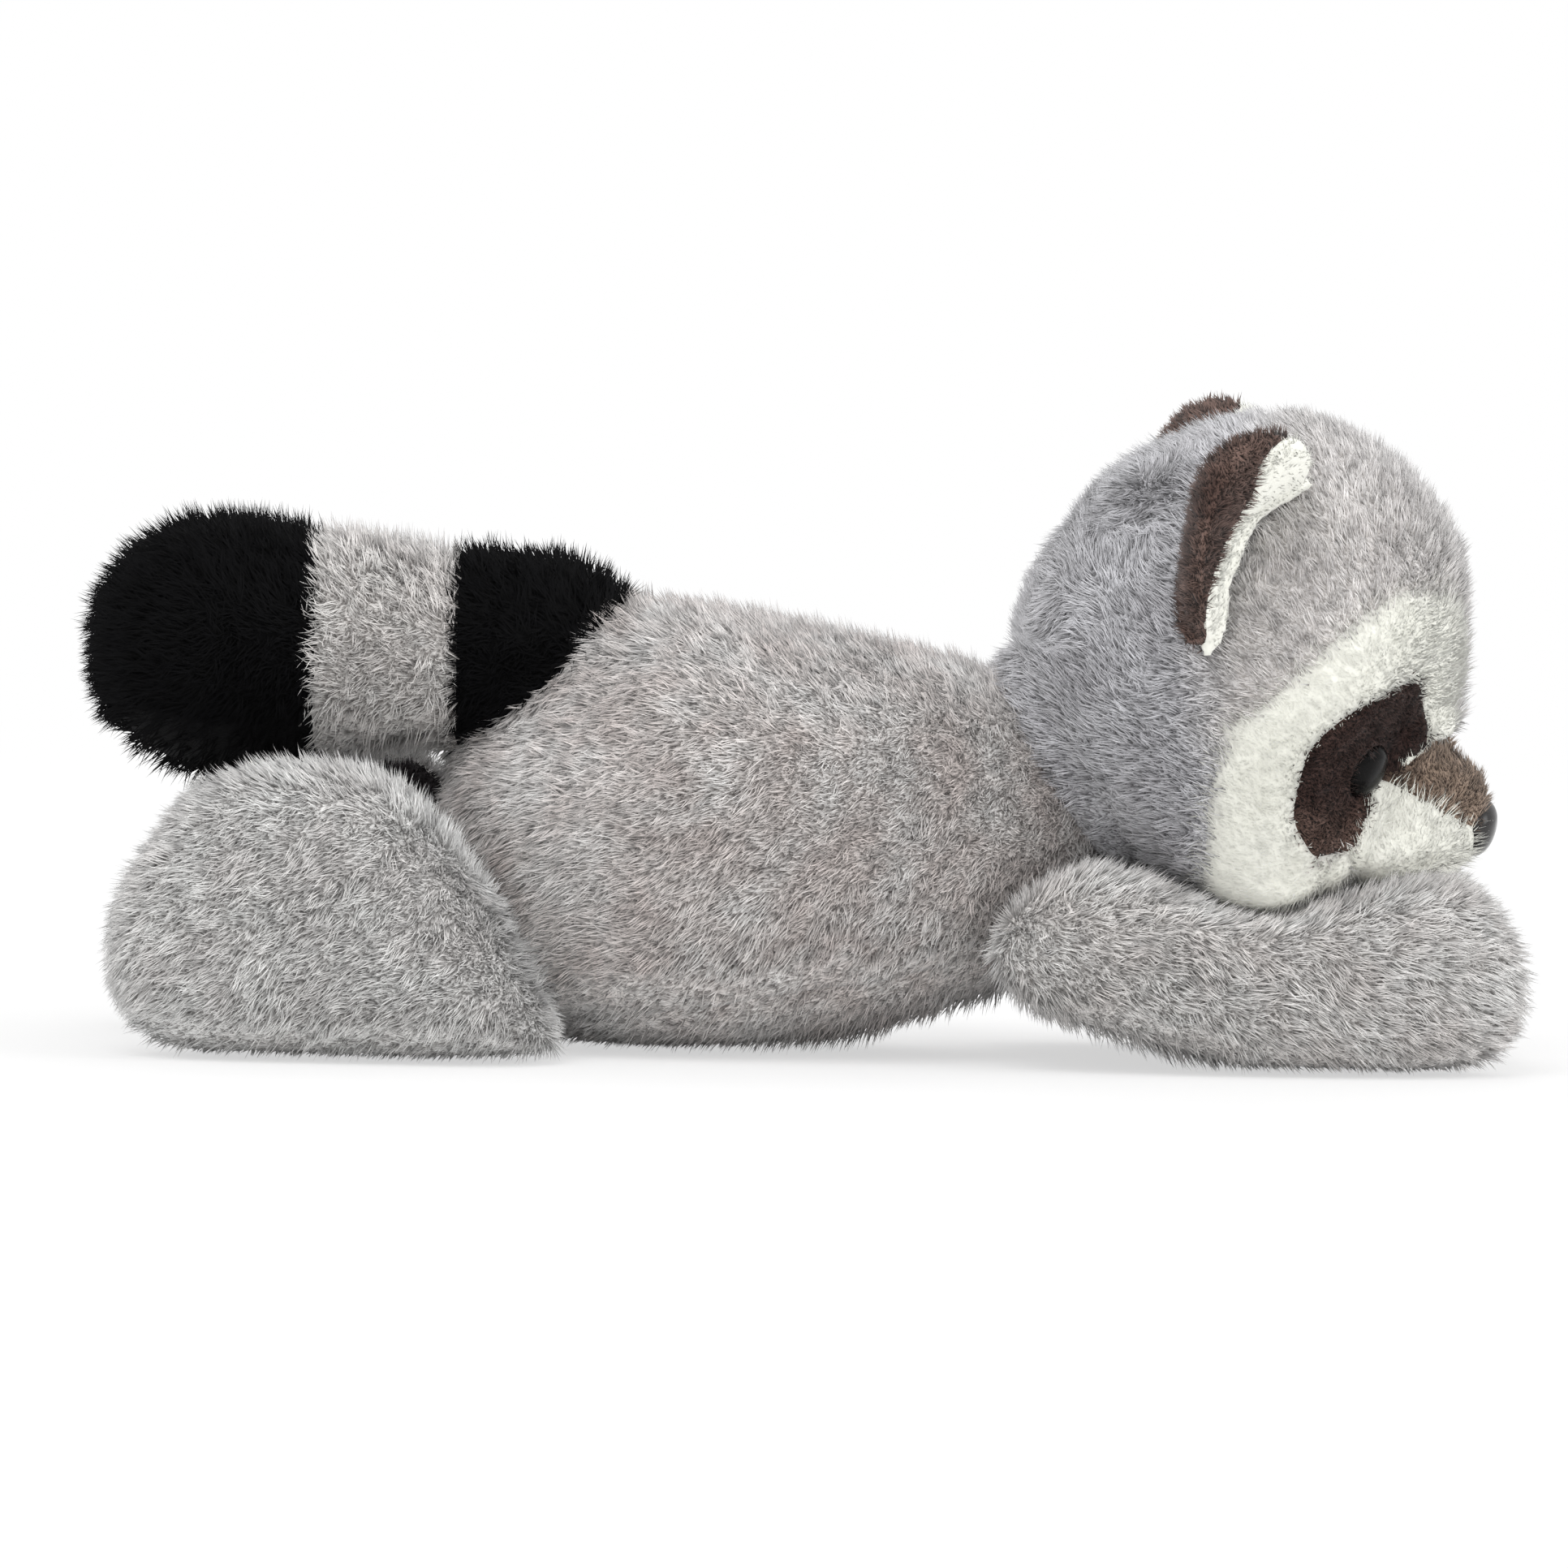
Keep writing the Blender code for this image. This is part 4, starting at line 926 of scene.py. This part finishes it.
def furOn(name, emitter, finish, plush, seed):
    obj = placed(name, emitter)
    fur = obj.modifiers.new("pile", "NODES")
    fur.node_group = pileTree
    values = {
        "Density": furSet["perSquareMm"] * plush.get("thick", 1.0) / mm**2,
        "Length": plush["length"] * mm,
        "Width": plush["width"] * furSet["finer"] * mm,
        "Lean": plush["lean"],
        "Tuft Size": furSet["tuftSize"] * mm,
        "Tuft Pull": furSet["tuftPull"],
        "Tuft Turn": plush.get("turn", furSet["tuftTurn"]),
        "Stray": furSet["stray"],
        "Seed": seed,
        "Pile": finish,
    }
    for key, value in values.items():
        fur[pileIds[key]] = value
    return evaluated(obj)


def plushPiece(name, node, shell, fur):
    shell.materials.append(groundMaterials[plushOf(node)["pile"]])
    pieces = [placed(name + "Skin", shell), placed(name + "Fur", fur)]
    with bpy.context.temp_override(active_object=pieces[0], selected_editable_objects=pieces):
        bpy.ops.object.join()
    piece = pieces[0]
    piece.name = name
    mesh = piece.data
    points = pointsOf(mesh)
    points[:, 2] = np.maximum(points[:, 2], furSet["floor"] * mm)
    mesh.vertices.foreach_set("co", points.astype(np.float32).ravel())
    mesh.update()
    own = vectorsOf(mesh.vertex_normals, "vector")
    root = vectorsOf(mesh.attributes["rootNormal"].data, "vector")
    share = furSet["normalShare"]
    normals = unit(share * root + (1 - share) * own, 1e-9)
    mesh.shade_smooth()
    mesh.normals_split_custom_set_from_vertices(normals.tolist())
    mesh.attributes.remove(mesh.attributes["rootNormal"])
    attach(piece, "root")
    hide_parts(node)
    return piece


def pieceName(node):
    first, *rest = node.split("_")
    return first + "".join(word.capitalize() for word in rest) + "Plush"


def mixing(near, i, nodes):
    # how thick a panel's fibres are: whole on its own side of a seam, none on the other, and mixed between
    share = np.ones(len(near))
    for k, other in enumerate(nodes):
        if k != i:
            plush = plushOf(nodes[i]), plushOf(other)
            over = min(p.get("mix", furSet["mixOver"]) for p in plush)
            if plush[0]["slot"] == plush[1]["slot"]:
                over = furSet["mixAlike"]
            share = np.minimum(share, np.clip(0.5 - (near[:, i] - near[:, k]) / (2 * over), 0, 1))
    return share


def blending(near, i, nodes):
    # 1 at a seam between grey and white cloth, and 0 some mm away from it
    share = np.zeros(len(near))
    for k, other in enumerate(nodes):
        if {plushOf(nodes[i])["slot"], plushOf(other)["slot"]} == {"grey_plush", "white_plush"}:
            apart = (near[:, i] - near[:, k]) / furSet["blendOver"]
            share = np.maximum(share, np.exp(-(apart**2)))
    return share


def layerOf(mesh, rounds, setting, ownTrees, otherTree):
    # the skin's fields on this mesh, and the panel that each face belongs to
    nodes = setting["nodes"]
    fields = skinFields(mesh, setting, ownTrees, otherTree)
    faces = quadsOf(mesh)
    near = fields["own"][:, : len(nodes)] - np.array([plushOf(n).get("gain", 0.0) for n in nodes])
    if len(nodes) > 1:
        high, apart = furSet["wobble"]
        near = evened(near, faces, rounds)
        x, _, z = fields["points"].T / mm
        for first, shift in setting.get("shifts", {}).items():
            for k, node in enumerate(nodes):
                if node.startswith(first):
                    near[:, k] += shift(x, z)
        near[:, 0] += [high * noise.noise(Vector(p / (apart * mm))) for p in fields["points"]]
    fields.update(faces=faces, near=near, panel=near[faces].mean(1).argmin(1))
    smoothBorders(fields)
    return fields


def makeSkin(name, setting, seed):
    nodes = setting["nodes"]
    apart = (name, *setting.get("beside", ()))
    others = [n for key, other in skinSet.items() if key not in apart for n in other["nodes"]]
    trees = [treeOf([n]) for n in (*nodes, *setting.get("plugs", ()))], treeOf(others)
    form = smoothForm(name, setting)
    rounds = furSet["seamRounds"]
    coarse = layerOf(form, rounds, setting, *trees)
    # with edges half as long, four rounds reach as far as one
    fine = layerOf(finer(form), 4 * rounds, setting, *trees)
    total = 0
    for i, node in enumerate(nodes):
        plush = plushOf(node)
        for fields in (coarse, fine):
            fields["blend"] = blending(fields["near"], i, nodes)
        shell = shellFrom(node + "Skin", coarse, coarse["faces"][coarse["panel"] == i])
        keep = {key: fine[key] for key in ("nap", "outward", "stand", "deep", "warm", "blend")}
        keep["cover"] = fine["cover"] * mixing(fine["near"], i, nodes)
        shown = keep["cover"][fine["faces"]].mean(1) > furSet["leastCover"]
        emitter = meshFrom(node + "Emitter", fine["skin"], fine["faces"][shown], keep)
        fur = furOn(node, emitter, pileMaterials[plush["pile"]], plush, seed + i)
        piece = plushPiece(pieceName(node), node, shell, fur)
        count = sum(len(p.vertices) - 2 for p in piece.data.polygons)
        total += count
        print("  ", piece.name, count)
    print(name, "done", total)
    return total


trianglesAdded = 0
for i, (name, setting) in enumerate(skinSet.items()):
    trianglesAdded += makeSkin(name, setting, furSet["seedStep"] * i)
print("plush pieces done, triangles", trianglesAdded)

# Moulded eyes and nose, and their washers

domeSet = {
    "eye": {
        "wide": 6.3, "high": 6.3, "rise": 4.1, "drop": 1.2,
        "roughness": 0.22, "colour": (8, 7, 7), "specular": 0.12,
    },
    "nose": {
        "wide": 8.2, "high": 6.2, "rise": 4.4, "drop": 1.0,
        "roughness": 0.20, "colour": (30, 28, 28), "specular": 0.5,
    },
    "sides": 64,
    "rings": 20,
    "skirt": 1.6,        # mm, how deep the button's edge goes into the pile
    "skirtWide": 0.97,
    "roundness": 2.3,    # 2 is an ellipse, and more is a flatter dome with a fuller edge
}


glossSet = {
    "scale": 700.0,
    "detail": 4.0,
    "range": (0.35, 0.7),
    "duller": (0.8, 1.5),  # how the roughness varies, against its own value
    "paler": 1.8,
}
washerSet = {
    "scale": 900.0,
    "detail": 3.0,
    "dark": (0.68, 0.68, 0.64, 1),
    "pale": (0.80, 0.80, 0.77, 1),
    "roughness": 0.45,
}


def plastic(name, look, dark, pale):
    # a cloudy plastic, with its shader and the cloud for what else it drives
    made, tree, shader, place = newFinish(name)
    cloud = noiseOf(tree, place, look["scale"], look["detail"])
    tree.links.new(colourMix(tree, cloud, dark, pale), shader.inputs["Base Color"])
    return made, shader, cloud


def makeGloss(name, setting):
    dark = linear(setting["colour"])
    pale = [c * glossSet["paler"] for c in dark]
    made, shader, cloud = plastic(name, glossSet, (*dark, 1), (*pale, 1))
    low, high = (setting["roughness"] * share for share in glossSet["duller"])
    level = mapped(made.node_tree, cloud, glossSet["range"], low, high)
    made.node_tree.links.new(level, shader.inputs["Roughness"])
    shader.inputs["Specular IOR Level"].default_value = setting["specular"]
    return made


def makeDome(node, setting, finish):
    seat, axis = buttonAxis(node)
    side = np.cross(axis, (0, 0, 1))
    side /= np.linalg.norm(side)
    up = np.cross(side, axis)
    seat = seat - up * setting["drop"] * mm
    rows = []
    for i in range(1, domeSet["rings"] + 1):
        spread = math.sin(0.5 * math.pi * i / domeSet["rings"])
        rise = (1 - spread ** domeSet["roundness"]) ** (1 / domeSet["roundness"]) * setting["rise"]
        rows.append((spread, rise))
    rows.append((domeSet["skirtWide"], -domeSet["skirt"]))
    points = [seat + axis * setting["rise"] * mm]
    for spread, rise in rows:
        for k in range(domeSet["sides"]):
            turn = 2 * math.pi * k / domeSet["sides"]
            flat = side * math.cos(turn) * setting["wide"] + up * math.sin(turn) * setting["high"]
            points.append(seat + (flat * spread + axis * rise) * mm)
    points.append(seat - axis * domeSet["skirt"] * mm)
    n = domeSet["sides"]
    faces = [(0, 1 + k, 1 + (k + 1) % n) for k in range(n)]
    for row in range(len(rows) - 1):
        a, b = 1 + row * n, 1 + (row + 1) * n
        faces += [(a + k, b + k, b + (k + 1) % n, a + (k + 1) % n) for k in range(n)]
    last = 1 + (len(rows) - 1) * n
    faces += [(last + k, len(points) - 1, last + (k + 1) % n) for k in range(n)]
    mesh = bpy.data.meshes.new(node)
    mesh.from_pydata([tuple(p) for p in points], [], faces)
    work = bmesh.new()
    work.from_mesh(mesh)
    bmesh.ops.recalc_face_normals(work, faces=work.faces)
    work.to_mesh(mesh)
    work.free()
    mesh.shade_smooth()
    mesh.materials.append(finish)
    piece = placed(pieceName(node).replace("Plush", "Dome"), mesh)
    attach(piece, "root")
    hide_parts(node)


eyeGloss = makeGloss("eyeGloss", domeSet["eye"])
noseGloss = makeGloss("noseGloss", domeSet["nose"])
for node in ("eye_right", "eye_left"):
    makeDome(node, domeSet["eye"], eyeGloss)
makeDome("nose", domeSet["nose"], noseGloss)

washerFinish, shader, _ = plastic("washerPlastic", washerSet, washerSet["dark"], washerSet["pale"])
shader.inputs["Roughness"].default_value = washerSet["roughness"]
for node in buttonSet["pairs"].values():
    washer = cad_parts[node]
    washer.data.materials.clear()
    washer.data.materials.append(washerFinish)
print("eyes, nose and washers")
